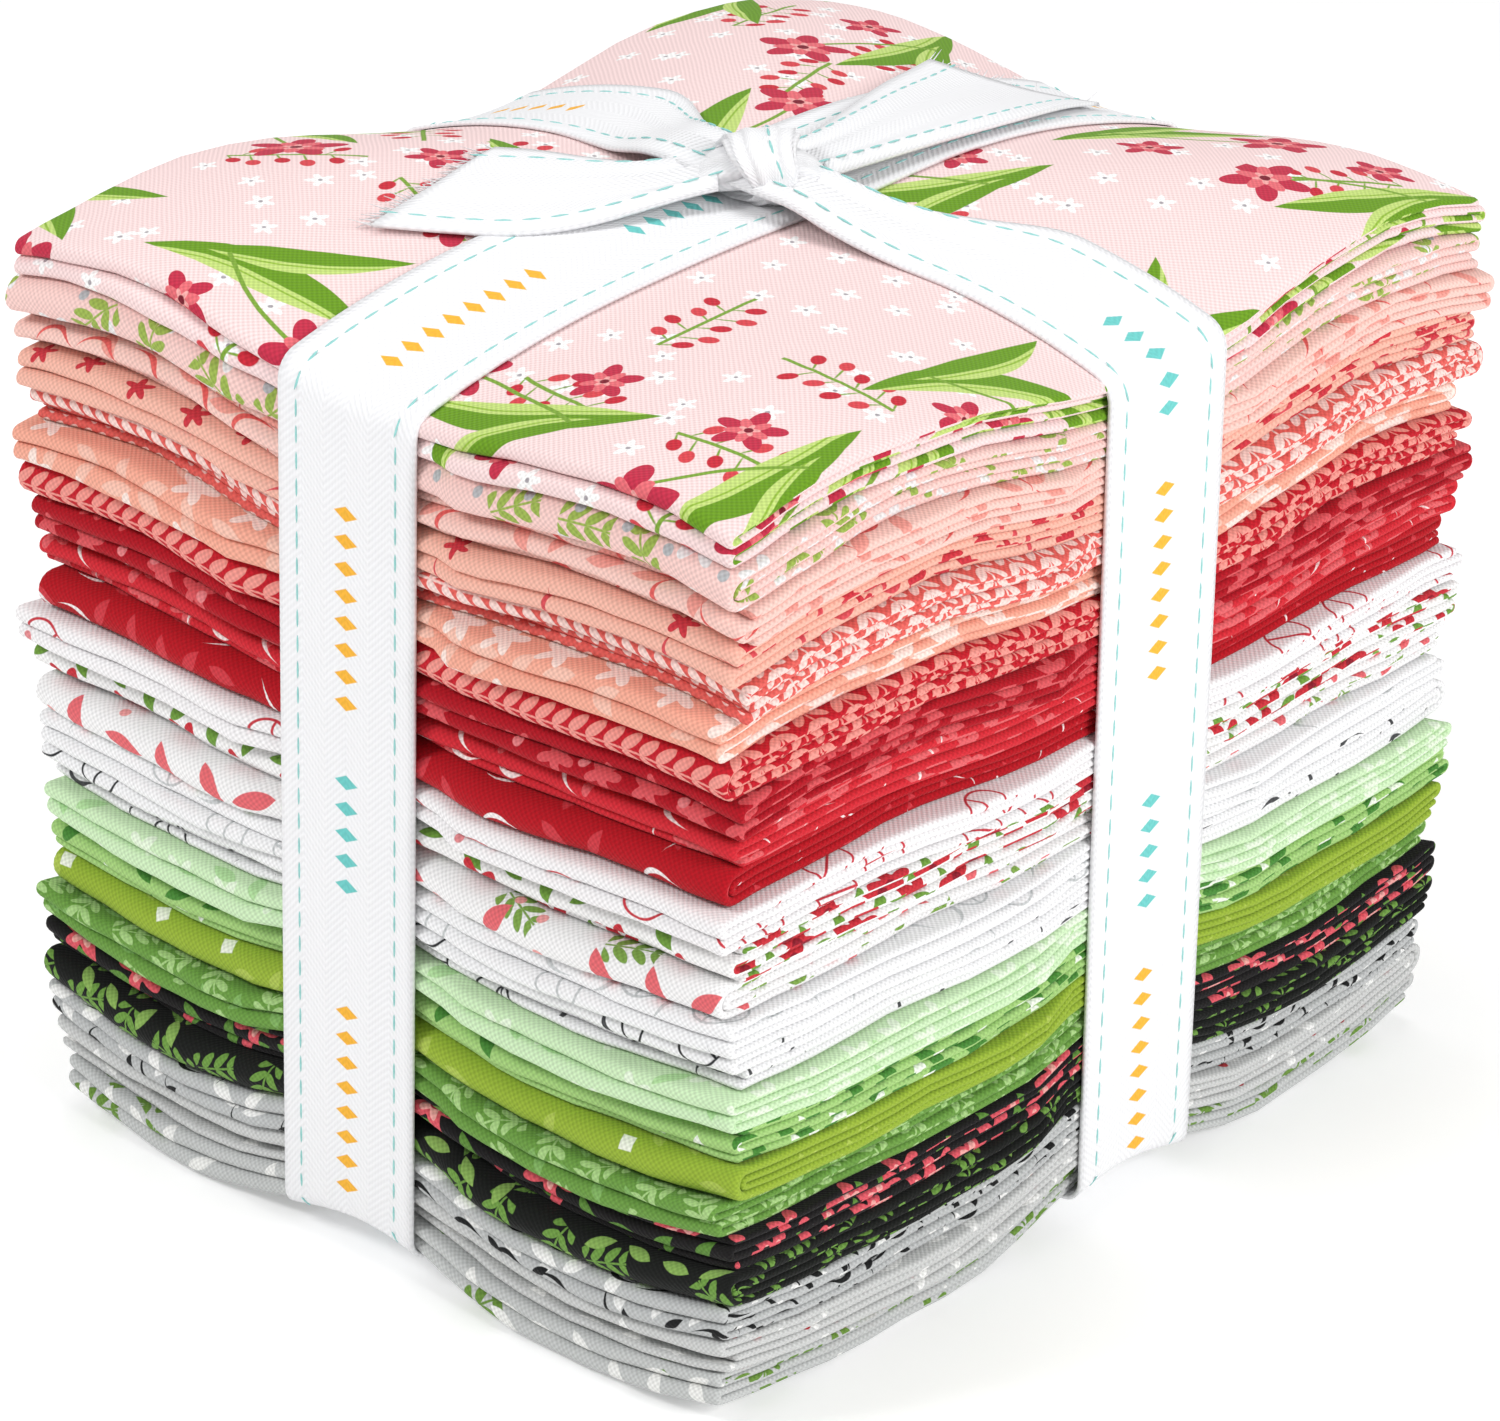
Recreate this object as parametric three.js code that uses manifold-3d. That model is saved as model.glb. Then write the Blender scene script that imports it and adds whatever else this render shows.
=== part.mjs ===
// Fat quarter bundle: a stack of folded quilting cottons, tied crosswise with a flat cotton tape.
// Units are millimetres and +Z is up. The bundle rests on z = 0 and is centred on the Z axis.
// The near face looks along -Y and shows the folds, the right face looks along +X and shows the layers.

import * as THREE from "three";
import Module from "manifold-3d";
import { mergeVertices } from "three/addons/utils/BufferGeometryUtils.js";

// Each cotton is cut 18 by 22 inches and folded in quarters both ways.
const INCH = 25.4;
const QUARTERS = 4;
const FOLDED_X = (18 * INCH) / QUARTERS;
const FOLDED_Y = (22 * INCH) / QUARTERS;
const HALF_X = FOLDED_X / 2;
const HALF_Y = FOLDED_Y / 2;

// Shares of one cotton's height in the stack: four runs, three slits between them, one gap above.
const RUNS = 4;
const SLIT_SHARE = 0.02;
const GAP_SHARE = 0.12;
const RUN_SHARE = (1 - GAP_SHARE - (RUNS - 1) * SLIT_SHARE) / RUNS;
const MEAN_HEIGHT = 114;

// The tape and the lines that it presses into the stack.
const TAPE_WIDTH = 22;
const TAPE_THICK = 1;
const TAPE_X = -1.3;
const TAPE_Y = 5;
const TAPE_CLEAR = 0.6;
const TAPE_STANDOFF = 1.2;
const TAPE_BEND = 1.8;
const BEND_STEPS = 3;
const BAND_STEPS = 8;
const NEAR_DRIFT = -2;
const RIGHT_DRIFT = 2;

// The top of the stack: the level of each puffed quarter, the pressed grooves and the drooping corners.
const PUFF_LEVEL = { nearLeft: 126, nearRight: 120.6, farLeft: 126.6, farRight: 124.5 };
const PUFF_BLEND = 40;
const GROOVE_WIDTH = 32;
const GROOVE_MIDDLE = 3;
const GROOVE_EDGE = 11.2;
const CORNER_DROOP = 7.5;
const DROOP_POWER = 1.9;

// The underside: four flat feet, raised under the tape and at the corners.
const FOOT_GROOVE_WIDTH = 14;
const FOOT_GROOVE_MIDDLE = 4.1;
const FOOT_GROOVE_EDGE = 5.9;
const FOOT_CORNER = 4.6;
const FOOT_CORNER_POWER = 4;
const FOOT_FLAT = 0.5;

// Lines across the stack where every layer is bent: the edges, the puffs and the tape.
const PUFF_SHARE = 0.5;
const LINES_X = [-HALF_X, -HALF_X * PUFF_SHARE, TAPE_X, HALF_X * PUFF_SHARE, HALF_X];
const LINES_Y = [-HALF_Y, -HALF_Y * PUFF_SHARE, TAPE_Y, HALF_Y * PUFF_SHARE, HALF_Y];
const TAPE_LINE = 2;
const LAST_LINE = LINES_X.length - 1;

// Order in which one cotton's length passes through its four runs, counted from the lowest.
const FOLD_ORDER = { zigzag: [0, 1, 2, 3], book: [0, 3, 2, 1] };
const FOLD_STEPS = 4;
const SHARPEST_FOLD = 0.5;

// The cottons from the bottom of the stack to the top: the order of the runs, the face that most folds
// look to, and how far the near, far, left and right edges stand proud.
const COTTONS = [
  { name: "grey_sprig", colour: 0xb3b5b5, fold: "zigzag", to: "near", proud: [0.4, 0.8, -1.4, -0.8] },
  { name: "grey_dot", colour: 0xbcbebe, fold: "book", to: "far", proud: [-0.6, 0.4, 0.2, 0.6] },
  { name: "grey_branch", colour: 0xa9abac, fold: "zigzag", to: "near", proud: [0.8, -0.6, 0.8, 0.2] },
  { name: "black_leaf", colour: 0x1c1e1c, fold: "book", to: "near", proud: [1.2, 0.6, 1.2, 1] },
  { name: "black_rose", colour: 0x211d1e, fold: "zigzag", to: "far", proud: [0.2, 1.4, 1.8, 0.4] },
  { name: "green_vine", colour: 0x6f9a4e, fold: "zigzag", to: "near", proud: [1.6, 0.2, 0.4, -0.4] },
  { name: "lime_check", colour: 0x8aa43a, fold: "book", to: "near", proud: [0.6, -0.8, -0.6, 1.4] },
  { name: "leaf_green", colour: 0x8fbf72, fold: "zigzag", to: "far", proud: [-0.4, 1.2, 0.6, 0.8] },
  { name: "mint", colour: 0xc6e6bf, fold: "zigzag", to: "near", proud: [1, 0.4, 0.2, 1.8] },
  { name: "white_sketch", colour: 0xf2f2f0, fold: "book", to: "far", proud: [-0.8, 1, 0.8, 0.2] },
  { name: "white_lines", colour: 0xf4f4f3, fold: "zigzag", to: "near", proud: [0.6, -0.4, 0.4, 1.2] },
  { name: "white_bud", colour: 0xf0ecea, fold: "book", to: "near", proud: [1.4, 0.8, 1, -0.6] },
  { name: "white_berry", colour: 0xf1edeb, fold: "zigzag", to: "far", proud: [0.2, 0.2, 1.4, 0.6] },
  { name: "white_net", colour: 0xf5f3f2, fold: "zigzag", to: "near", proud: [1.8, 1.6, 1.8, 1] },
  { name: "red_branch", colour: 0xb9202e, fold: "book", to: "near", proud: [1, -0.6, -0.8, -1] },
  { name: "coral_stroke", colour: 0xd6434a, fold: "zigzag", to: "far", proud: [-0.6, 0.6, 0.6, 0.2] },
  { name: "crimson_patch", colour: 0xb51f30, fold: "zigzag", to: "near", proud: [0.4, 1.8, 0.4, 1.2] },
  { name: "red_vine", colour: 0xc9353f, fold: "book", to: "near", proud: [1.2, 0.2, 1, 0.8] },
  { name: "peach_flower", colour: 0xf3b3a0, fold: "zigzag", to: "near", proud: [1.8, -0.8, 1.2, -0.4] },
  { name: "coral_vine", colour: 0xe8766e, fold: "book", to: "far", proud: [0.2, 0.8, 0.2, 1.6] },
  { name: "peach_stroke", colour: 0xf4bfae, fold: "zigzag", to: "near", proud: [1, 0.4, 0.8, 0.4] },
  { name: "blush_curl", colour: 0xf6cdc4, fold: "zigzag", to: "far", proud: [0.4, 1.2, 1.6, 1.8] },
  { name: "pink_sprig", colour: 0xf3cfca, fold: "book", to: "near", proud: [1.4, -0.2, 1.8, 0.8] },
  { name: "pink_floral", colour: 0xf6cfc8, fold: "zigzag", to: "near", proud: [1, 0.6, 0.6, 0.2] },
];
const CLOTH_ROUGHNESS = 0.9;

// The knot and the two cut tails, as places on the top of the bundle.
const KNOT = { x: 2, y: -4, lift: 6, turn: 0.7 };
const KNOT_WRAPS = [
  { long: 10, short: 4.8, high: 4 },
  { long: 8, short: 4.2, high: 5 },
];
const KNOT_SIDES = 14;
const KNOT_RINGS = 8;
const KNOT_NECK = 5.5;
const NECK_FROM = 8;
const NECK_TO = 34;
const TAIL_STEPS = 6;
const TAIL_LIFT = 3.4;
const TAIL_REST = 1.4;
const TAILS = [
  { rootX: -3, rootY: -9, tipX: -24.5, tipY: -33, rootHalf: 6, tipHalf: 11, cut: 8 },
  { rootX: 3.5, rootY: 2, tipX: -7, tipY: 56, rootHalf: 6, tipHalf: 10.5, cut: -4 },
];
const TAPE_COLOUR = 0xf3f3f1;

const wasm = await Module();
wasm.setup();

function smooth(from, to, value) {
  return THREE.MathUtils.smoothstep(value, from, to);
}

function mix(from, to, share) {
  return from + (to - from) * share;
}

// Depth of the two crossing grooves that the tape presses, deeper towards the edges of the stack.
function grooves(x, y, width, middle, edge) {
  const alongY = mix(middle, edge, Math.abs(y / HALF_Y) ** 3);
  const alongX = mix(middle, edge, Math.abs(x / HALF_X) ** 3);
  const first = alongY * Math.exp(-(((x - TAPE_X) / width) ** 2));
  const second = alongX * Math.exp(-(((y - TAPE_Y) / width) ** 2));
  return Math.max(first, second);
}

function cornerShare(x, y) {
  return Math.abs((x / HALF_X) * (y / HALF_Y));
}

function topHeight(x, y) {
  const right = smooth(-PUFF_BLEND, PUFF_BLEND, x - TAPE_X);
  const far = smooth(-PUFF_BLEND, PUFF_BLEND, y - TAPE_Y);
  const near = mix(PUFF_LEVEL.nearLeft, PUFF_LEVEL.nearRight, right);
  const back = mix(PUFF_LEVEL.farLeft, PUFF_LEVEL.farRight, right);
  const pressed = grooves(x, y, GROOVE_WIDTH, GROOVE_MIDDLE, GROOVE_EDGE);
  return mix(near, back, far) - pressed - CORNER_DROOP * cornerShare(x, y) ** DROOP_POWER;
}

function footHeight(x, y) {
  const pressed = grooves(x, y, FOOT_GROOVE_WIDTH, FOOT_GROOVE_MIDDLE, FOOT_GROOVE_EDGE);
  const corner = FOOT_CORNER * cornerShare(x, y) ** FOOT_CORNER_POWER;
  return Math.max(0, pressed + corner - FOOT_FLAT);
}

const TOP_GRID = LINES_Y.map((y) => LINES_X.map((x) => topHeight(x, y)));
const FOOT_GRID = LINES_Y.map((y) => LINES_X.map((x) => footHeight(x, y)));

// Each cell between two lines is split along the diagonal that cuts off the corner of the stack.
function fallsToRight(cellX, cellY) {
  return cellX < TAPE_LINE === cellY < TAPE_LINE;
}

function cellOf(lines, value) {
  let cell = 0;
  while (cell < LAST_LINE - 1 && value > lines[cell + 1]) cell += 1;
  return { cell, share: (value - lines[cell]) / (lines[cell + 1] - lines[cell]) };
}

// Height on the two flat triangles of the cell that holds the point.
function gridHeight(grid, x, y) {
  const { cell: i, share: s } = cellOf(LINES_X, x);
  const { cell: k, share: t } = cellOf(LINES_Y, y);
  const a = grid[k][i];
  const b = grid[k][i + 1];
  const c = grid[k + 1][i + 1];
  const d = grid[k + 1][i];
  if (fallsToRight(i, k)) {
    return s + t < 1 ? a + s * (b - a) + t * (d - a) : c + (1 - s) * (d - c) + (1 - t) * (b - c);
  }
  return s > t ? a + s * (b - a) + t * (c - b) : a + t * (d - a) + s * (c - d);
}

// Height in the stack at a share of the way from the underside, 0, to the top, 1.
function stackHeight(x, y, share) {
  return mix(gridHeight(FOOT_GRID, x, y), gridHeight(TOP_GRID, x, y), share);
}

const PITCH = 1 / (COTTONS.length - GAP_SHARE);

// One cotton's section as the two sides of its folded length. Each point gives the line that it is on,
// how far it stands past that line, and its share of the stack's height.
function foldedSides(cotton, level) {
  const order = FOLD_ORDER[cotton.fold];
  const low = (run) => (level + run * (RUN_SHARE + SLIT_SHARE)) * PITCH;
  const high = (run) => low(run) + RUN_SHARE * PITCH;
  const sides = [[], []];
  order.forEach((run, step) => {
    const towardsNear = (cotton.to === "near") === (step % 2 === 0);
    const lines = LINES_Y.map((_, k) => (towardsNear ? LAST_LINE - k : k));
    sides.forEach((points, side) => {
      const under = towardsNear === (side === 0);
      const share = under ? low(run) : high(run);
      lines.forEach((line) => points.push({ line, past: 0, share }));
      if (step === RUNS - 1) return;
      const next = order[step + 1];
      points.push(...foldArc(lines[LAST_LINE], share, under ? high(next) : low(next)));
    });
  });
  return sides;
}

// The round of a fold between two heights, left out where the two lie closer than a sharp crease.
function foldArc(line, fromShare, toShare) {
  const radius = (Math.abs(toShare - fromShare) / 2) * MEAN_HEIGHT;
  if (radius < SHARPEST_FOLD) return [];
  const middle = (fromShare + toShare) / 2;
  const arc = [];
  for (let step = 1; step < FOLD_STEPS; step += 1) {
    const angle = (Math.PI * step) / FOLD_STEPS;
    const share = middle + (fromShare - middle) * Math.cos(angle);
    arc.push({ line, past: radius * Math.sin(angle), share });
  }
  return arc;
}

// How far past its nominal line a cotton's edge lies: pressed flush where it stands proud under the tape.
function edgeOut(proud, line) {
  return line === TAPE_LINE ? Math.min(0, proud) : proud;
}

function foldedCotton(cotton, level) {
  const [left, right] = foldedSides(cotton, level);
  const outline = [...left, ...right.reverse()];
  const bulge = { 0: 0, [LAST_LINE]: 0 };
  outline.forEach(({ line, past }) => {
    if (past > 0) bulge[line] = Math.max(bulge[line], past);
  });
  const [near, far, leftOut, rightOut] = cotton.proud;
  const placeY = ({ line, past }, lineX) => {
    if (line === 0) return -HALF_Y - edgeOut(near, lineX) + bulge[0] - past;
    if (line === LAST_LINE) return HALF_Y + edgeOut(far, lineX) - bulge[LAST_LINE] + past;
    return LINES_Y[line];
  };
  const placeX = (line, lineY) => {
    if (line === 0) return -HALF_X - edgeOut(leftOut, lineY);
    if (line === LAST_LINE) return HALF_X + edgeOut(rightOut, lineY);
    return LINES_X[line];
  };
  const rows = LINES_X.map((_, lineX) =>
    outline.map((point) => {
      const x = placeX(lineX, point.line);
      const y = placeY(point, lineX);
      return new THREE.Vector3(x, y, stackHeight(x, y, point.share));
    }),
  );
  return solidFromRows(rows, outline, left.length);
}

// Joins equal rows of outline points into a closed body, with a cap on the first and last row.
function solidFromRows(rows, outline, turn) {
  const count = outline.length;
  const triangles = [];
  for (let i = 0; i < rows.length - 1; i += 1) {
    for (let j = 0; j < count; j += 1) {
      const next = (j + 1) % count;
      const [a, b, c, d] = [i * count + j, (i + 1) * count + j, (i + 1) * count + next, i * count + next];
      const cellY = Math.min(outline[j].line, outline[next].line, LAST_LINE - 1);
      const rising = rows[i][next].y > rows[i][j].y;
      if (fallsToRight(i, cellY) === rising) triangles.push([a, b, d], [b, c, d]);
      else triangles.push([a, b, c], [a, c, d]);
    }
  }
  const lastRow = (rows.length - 1) * count;
  for (const [a, b, c] of capTriangles(rows[0], turn)) {
    triangles.push([a, c, b]);
    triangles.push([lastRow + a, lastRow + b, lastRow + c]);
  }
  return outwardGeometry(rows.flat(), triangles);
}

// Closes the end of a folded length by stepping along both of its sides, always across the shorter way.
function capTriangles(row, turn) {
  const triangles = [];
  let here = 0;
  let there = row.length - 1;
  while (here < turn - 1 || there > turn) {
    const leftStep = here < turn - 1 ? row[here + 1].distanceTo(row[there]) : Infinity;
    const rightStep = there > turn ? row[here].distanceTo(row[there - 1]) : Infinity;
    if (leftStep < rightStep) {
      triangles.push([here, there, here + 1]);
      here += 1;
    } else {
      triangles.push([here, there, there - 1]);
      there -= 1;
    }
  }
  return triangles;
}

function outwardGeometry(points, triangles) {
  const volume = triangles.reduce((sum, [a, b, c]) => {
    return sum + points[a].dot(points[b].clone().cross(points[c]));
  }, 0);
  const facing = volume < 0 ? triangles.map(([a, b, c]) => [a, c, b]) : triangles;
  const geometry = new THREE.BufferGeometry().setFromPoints(points);
  geometry.setIndex(facing.flat());
  return geometry;
}

// A flat strip of tape through stations of three points across, thickened along each station's normal.
function tapeStrip(stations, closed) {
  const points = [];
  for (const { across, normal } of stations) {
    const outer = across.map((p) => p.clone().addScaledVector(normal, TAPE_THICK));
    points.push(...across, ...outer.reverse());
  }
  const ring = 6;
  const triangles = [];
  const spans = closed ? stations.length : stations.length - 1;
  for (let i = 0; i < spans; i += 1) {
    const here = i * ring;
    const there = ((i + 1) % stations.length) * ring;
    for (let j = 0; j < ring; j += 1) {
      const next = (j + 1) % ring;
      triangles.push([here + j, there + j, there + next], [here + j, there + next, here + next]);
    }
  }
  if (!closed) {
    for (const start of [0, (stations.length - 1) * ring]) {
      const cap = [[0, 1, 5], [1, 4, 5], [1, 2, 4], [2, 3, 4]];
      const turned = start === 0 ? cap : cap.map(([a, b, c]) => [a, c, b]);
      triangles.push(...turned.map((t) => t.map((v) => start + v)));
    }
  }
  return outwardGeometry(points, triangles);
}

// The two bands: half the stack's length along each, the line that it follows, the knot's place along it,
// the end and size of its drift on the underside, and whether it is gathered into the knot.
const ALONG_Y = { half: HALF_Y, line: TAPE_X, knot: TAPE_Y, driftEnd: -1, drift: NEAR_DRIFT, necked: false };
const ALONG_X = { half: HALF_X, line: TAPE_Y, knot: TAPE_X, driftEnd: 1, drift: RIGHT_DRIFT, necked: true };

function bandPoint(band, along, across, z) {
  return band === ALONG_Y ? new THREE.Vector3(across, along, z) : new THREE.Vector3(along, across, z);
}

function bandNormal(band, along, up) {
  return bandPoint(band, along, 0, up).normalize();
}

// Three points across the band where it lies on the top, share 1, or under the stack, share 0.
function bandOnStack(band, along, share) {
  const away = Math.abs(along - band.knot);
  const gathered = share === 1 && band.necked;
  const half = gathered ? mix(KNOT_NECK, TAPE_WIDTH / 2, smooth(NECK_FROM, NECK_TO, away)) : TAPE_WIDTH / 2;
  const lift = gathered ? TAPE_THICK * (1 - smooth(TAPE_WIDTH / 2, TAPE_WIDTH, away)) : 0;
  const towards = (band.driftEnd * along) / band.half;
  const middle = band.line + (share === 0 ? band.drift * ((1 + towards) / 2) : 0);
  const clear = share === 1 ? TAPE_CLEAR + lift : -TAPE_CLEAR;
  return [-half, 0, half].map((offset) => {
    const probe = bandPoint(band, along, middle + offset, 0);
    return bandPoint(band, along, middle + offset, stackHeight(probe.x, probe.y, share) + clear);
  });
}

// A station on the bend between a face of the stack and its top or underside.
function bandBend(band, end, share, angle) {
  const wall = band.half + TAPE_STANDOFF;
  const flat = bandOnStack(band, end * (wall - TAPE_BEND), share);
  const upward = share === 1 ? 1 : -1;
  const across = flat.map((p) => {
    const along = end * (wall - TAPE_BEND + TAPE_BEND * Math.sin(angle));
    const z = p.z - upward * TAPE_BEND * (1 - Math.cos(angle));
    return bandPoint(band, along, band === ALONG_Y ? p.x : p.y, z);
  });
  return { across, normal: bandNormal(band, end * Math.sin(angle), upward * Math.cos(angle)) };
}

function bandStations(band) {
  const wall = band.half + TAPE_STANDOFF - TAPE_BEND;
  const flatRun = (share) => {
    const run = [];
    for (let step = 1; step < BAND_STEPS; step += 1) {
      const across = bandOnStack(band, wall * ((2 * step) / BAND_STEPS - 1), share);
      run.push({ across, normal: new THREE.Vector3(0, 0, share === 1 ? 1 : -1) });
    }
    return run;
  };
  const bend = (end, share, fromTop) => {
    const turn = [];
    for (let step = 0; step <= BEND_STEPS; step += 1) {
      const angle = ((Math.PI / 2) * (fromTop ? step : BEND_STEPS - step)) / BEND_STEPS;
      turn.push(bandBend(band, end, share, angle));
    }
    return turn;
  };
  return [
    ...flatRun(1),
    ...bend(1, 1, true),
    ...bend(1, 0, false),
    ...flatRun(0).reverse(),
    ...bend(-1, 0, true),
    ...bend(-1, 1, false),
  ];
}

// A cut tail that leaves the knot, widens and comes to rest on the cloth or the tape below it.
function tailStations(tail) {
  const along = new THREE.Vector3(tail.tipX - tail.rootX, tail.tipY - tail.rootY, 0).normalize();
  const side = new THREE.Vector3(-along.y, along.x, 0);
  const stations = [];
  for (let step = 0; step <= TAIL_STEPS; step += 1) {
    const share = step / TAIL_STEPS;
    const half = mix(tail.rootHalf, tail.tipHalf, smooth(0, 0.6, share));
    const lift = mix(TAIL_LIFT, TAIL_REST, smooth(0, 0.8, share));
    const across = [-1, 0, 1].map((edge) => {
      const slant = tail.cut * edge * share;
      const x = mix(tail.rootX, tail.tipX, share) + side.x * half * edge + along.x * slant;
      const y = mix(tail.rootY, tail.tipY, share) + side.y * half * edge + along.y * slant;
      return new THREE.Vector3(x, y, stackHeight(x, y, 1) + TAPE_CLEAR + lift);
    });
    stations.push({ across, normal: new THREE.Vector3(0, 0, 1) });
  }
  return stations;
}

// The knot is a flat lump of two wraps of the tape that lie across each other.
function knotWraps() {
  return KNOT_WRAPS.map(({ long, short, high }, turns) => {
    const wrap = new THREE.SphereGeometry(1, KNOT_SIDES, KNOT_RINGS);
    wrap.rotateX(Math.PI / 2);
    wrap.scale(long, short, high);
    wrap.rotateZ(KNOT.turn + (turns * Math.PI) / 2);
    wrap.translate(KNOT.x, KNOT.y, topHeight(KNOT.x, KNOT.y) + KNOT.lift);
    return wrap;
  });
}

function toSolid(geometry) {
  const bare = geometry.clone();
  bare.deleteAttribute("normal");
  bare.deleteAttribute("uv");
  const merged = mergeVertices(bare);
  const vertProperties = new Float32Array(merged.attributes.position.array);
  const triVerts = new Uint32Array(merged.index.array);
  return new wasm.Manifold(new wasm.Mesh({ numProp: 3, vertProperties, triVerts }));
}

function toGeometry(solid) {
  const { vertProperties, triVerts, numProp } = solid.getMesh();
  const geometry = new THREE.BufferGeometry();
  const positions = [];
  for (let i = 0; i < vertProperties.length; i += numProp) {
    positions.push(vertProperties[i], vertProperties[i + 1], vertProperties[i + 2]);
  }
  geometry.setAttribute("position", new THREE.Float32BufferAttribute(positions, 3));
  geometry.setIndex([...triVerts]);
  return geometry;
}

function tieGeometry() {
  const bands = [ALONG_Y, ALONG_X].map((band) => tapeStrip(bandStations(band), true));
  const tails = TAILS.map((tail) => tapeStrip(tailStations(tail), false));
  const pieces = [...bands, ...tails, ...knotWraps()];
  return toGeometry(wasm.Manifold.union(pieces.map(toSolid)));
}

function cloth(name, geometry, colour) {
  geometry.computeVertexNormals();
  const finish = new THREE.MeshStandardMaterial({ color: colour, roughness: CLOTH_ROUGHNESS, metalness: 0 });
  const mesh = new THREE.Mesh(geometry, finish);
  mesh.name = name;
  return mesh;
}

const bundle = new THREE.Group();
COTTONS.forEach((cotton, level) => {
  const number = String(level + 1).padStart(2, "0");
  bundle.add(cloth(`cotton_${number}_${cotton.name}`, foldedCotton(cotton, level), cotton.colour));
});
bundle.add(cloth("tie", tieGeometry(), TAPE_COLOUR));

export default bundle;
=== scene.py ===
"""Looks of the fat quarter bundle: folded printed cottons tied crosswise with a white twill tape."""
import math
from collections import namedtuple

import bmesh
import bpy
import numpy as np
from mathutils import Matrix, Vector


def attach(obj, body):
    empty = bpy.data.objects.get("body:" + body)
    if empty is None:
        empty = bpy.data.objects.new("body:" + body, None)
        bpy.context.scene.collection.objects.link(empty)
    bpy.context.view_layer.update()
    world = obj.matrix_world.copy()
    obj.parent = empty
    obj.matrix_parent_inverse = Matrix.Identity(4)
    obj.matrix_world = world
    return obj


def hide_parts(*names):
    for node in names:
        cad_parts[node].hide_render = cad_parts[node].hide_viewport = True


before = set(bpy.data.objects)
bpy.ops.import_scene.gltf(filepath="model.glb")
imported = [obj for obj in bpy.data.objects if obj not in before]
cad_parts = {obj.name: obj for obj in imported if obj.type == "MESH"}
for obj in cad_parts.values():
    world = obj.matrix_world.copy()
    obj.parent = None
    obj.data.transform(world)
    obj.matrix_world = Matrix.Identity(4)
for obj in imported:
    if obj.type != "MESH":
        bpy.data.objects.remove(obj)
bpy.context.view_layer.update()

MM = 0.001
INCH = 0.0254

# Folded size of one cotton, cut 18 by 22 inches and folded in quarters both ways.
QUARTERS = 4
CUT_LENGTH = 22 * INCH
FOLDED_X = 18 * INCH / QUARTERS
FOLDED_Y = CUT_LENGTH / QUARTERS
HALF_X = FOLDED_X / 2
HALF_Y = FOLDED_Y / 2

# The lines that the tape presses into the stack.
TAPE_X = -1.3 * MM
TAPE_Y = 5 * MM
TAPE_WIDTH = 22 * MM

# The top of the stack, as in the solids: puffed quarters, pressed grooves and drooping corners.
PUFF_NEAR_LEFT = 126 * MM
PUFF_NEAR_RIGHT = 120.6 * MM
PUFF_FAR_LEFT = 126.6 * MM
PUFF_FAR_RIGHT = 124.5 * MM
PUFF_BLEND = 40 * MM
GROOVE_WIDTH = 32 * MM
GROOVE_MIDDLE = 3 * MM
GROOVE_EDGE = 11.2 * MM
CORNER_DROOP = 7.5 * MM
DROOP_POWER = 1.9
GROOVE_POWER = 3
JOIN_POWER = 6

# The underside: flat feet, raised under the tape and at the corners.
FOOT_GROOVE_WIDTH = 19 * MM
FOOT_GROOVE_MIDDLE = 4.1 * MM
FOOT_GROOVE_EDGE = 5.9 * MM
FOOT_CORNER = 4.6 * MM
FOOT_CORNER_POWER = 4
FOOT_FLAT = 0.5 * MM

# Shares of one cotton's height in the stack.
RUNS = 4
SLIT_SHARE = 0.015
GAP_SHARE = 0.05
RUN_SHARE = (1 - GAP_SHARE - (RUNS - 1) * SLIT_SHARE) / RUNS
MEAN_HEIGHT = 116 * MM
FOLD_ORDER = {"zigzag": (0, 1, 2, 3), "book": (0, 3, 2, 1)}

# How finely a folded cotton is drawn.
FOLD_POINTS = 7
TIP_POINTS = 3
EDGE_STOPS = (0.0, 0.8, 2.0, 4.0, 7.5, 12.5)
RUN_STOPS = 17
SIDE_STOPS = (0.0, 1.0, 2.5, 5.0, 8.5)
WIDTH_STOPS = 25
ROUND_ANGLES = (30, 60, 90)


def smooth(low, high, value):
    share = np.clip((value - low) / (high - low), 0, 1)
    return share * share * (3 - 2 * share)


def mix(low, high, share):
    return low + (high - low) * share


# Heights of the stack

def grooves(x, y, width, middle, edge):
    """Depth of the two crossing grooves, deeper towards the edges of the stack and softly joined."""
    depth_y = mix(middle, edge, np.abs(y / HALF_Y) ** GROOVE_POWER)
    depth_x = mix(middle, edge, np.abs(x / HALF_X) ** GROOVE_POWER)
    along_y = depth_y * np.exp(-((x - TAPE_X) / width) ** 2)
    along_x = depth_x * np.exp(-((y - TAPE_Y) / width) ** 2)
    return (along_y ** JOIN_POWER + along_x ** JOIN_POWER) ** (1 / JOIN_POWER)


def top_height(x, y):
    right = smooth(-PUFF_BLEND, PUFF_BLEND, x - TAPE_X)
    far = smooth(-PUFF_BLEND, PUFF_BLEND, y - TAPE_Y)
    near_level = mix(PUFF_NEAR_LEFT, PUFF_NEAR_RIGHT, right)
    far_level = mix(PUFF_FAR_LEFT, PUFF_FAR_RIGHT, right)
    pressed = grooves(x, y, GROOVE_WIDTH, GROOVE_MIDDLE, GROOVE_EDGE)
    corner = np.abs(x * y) / (HALF_X * HALF_Y)
    return mix(near_level, far_level, far) - pressed - CORNER_DROOP * corner ** DROOP_POWER


def foot_height(x, y):
    pressed = grooves(x, y, FOOT_GROOVE_WIDTH, FOOT_GROOVE_MIDDLE, FOOT_GROOVE_EDGE)
    corner = np.abs(x * y) / (HALF_X * HALF_Y)
    return np.maximum(0, pressed + FOOT_CORNER * corner ** FOOT_CORNER_POWER - FOOT_FLAT)


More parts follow.
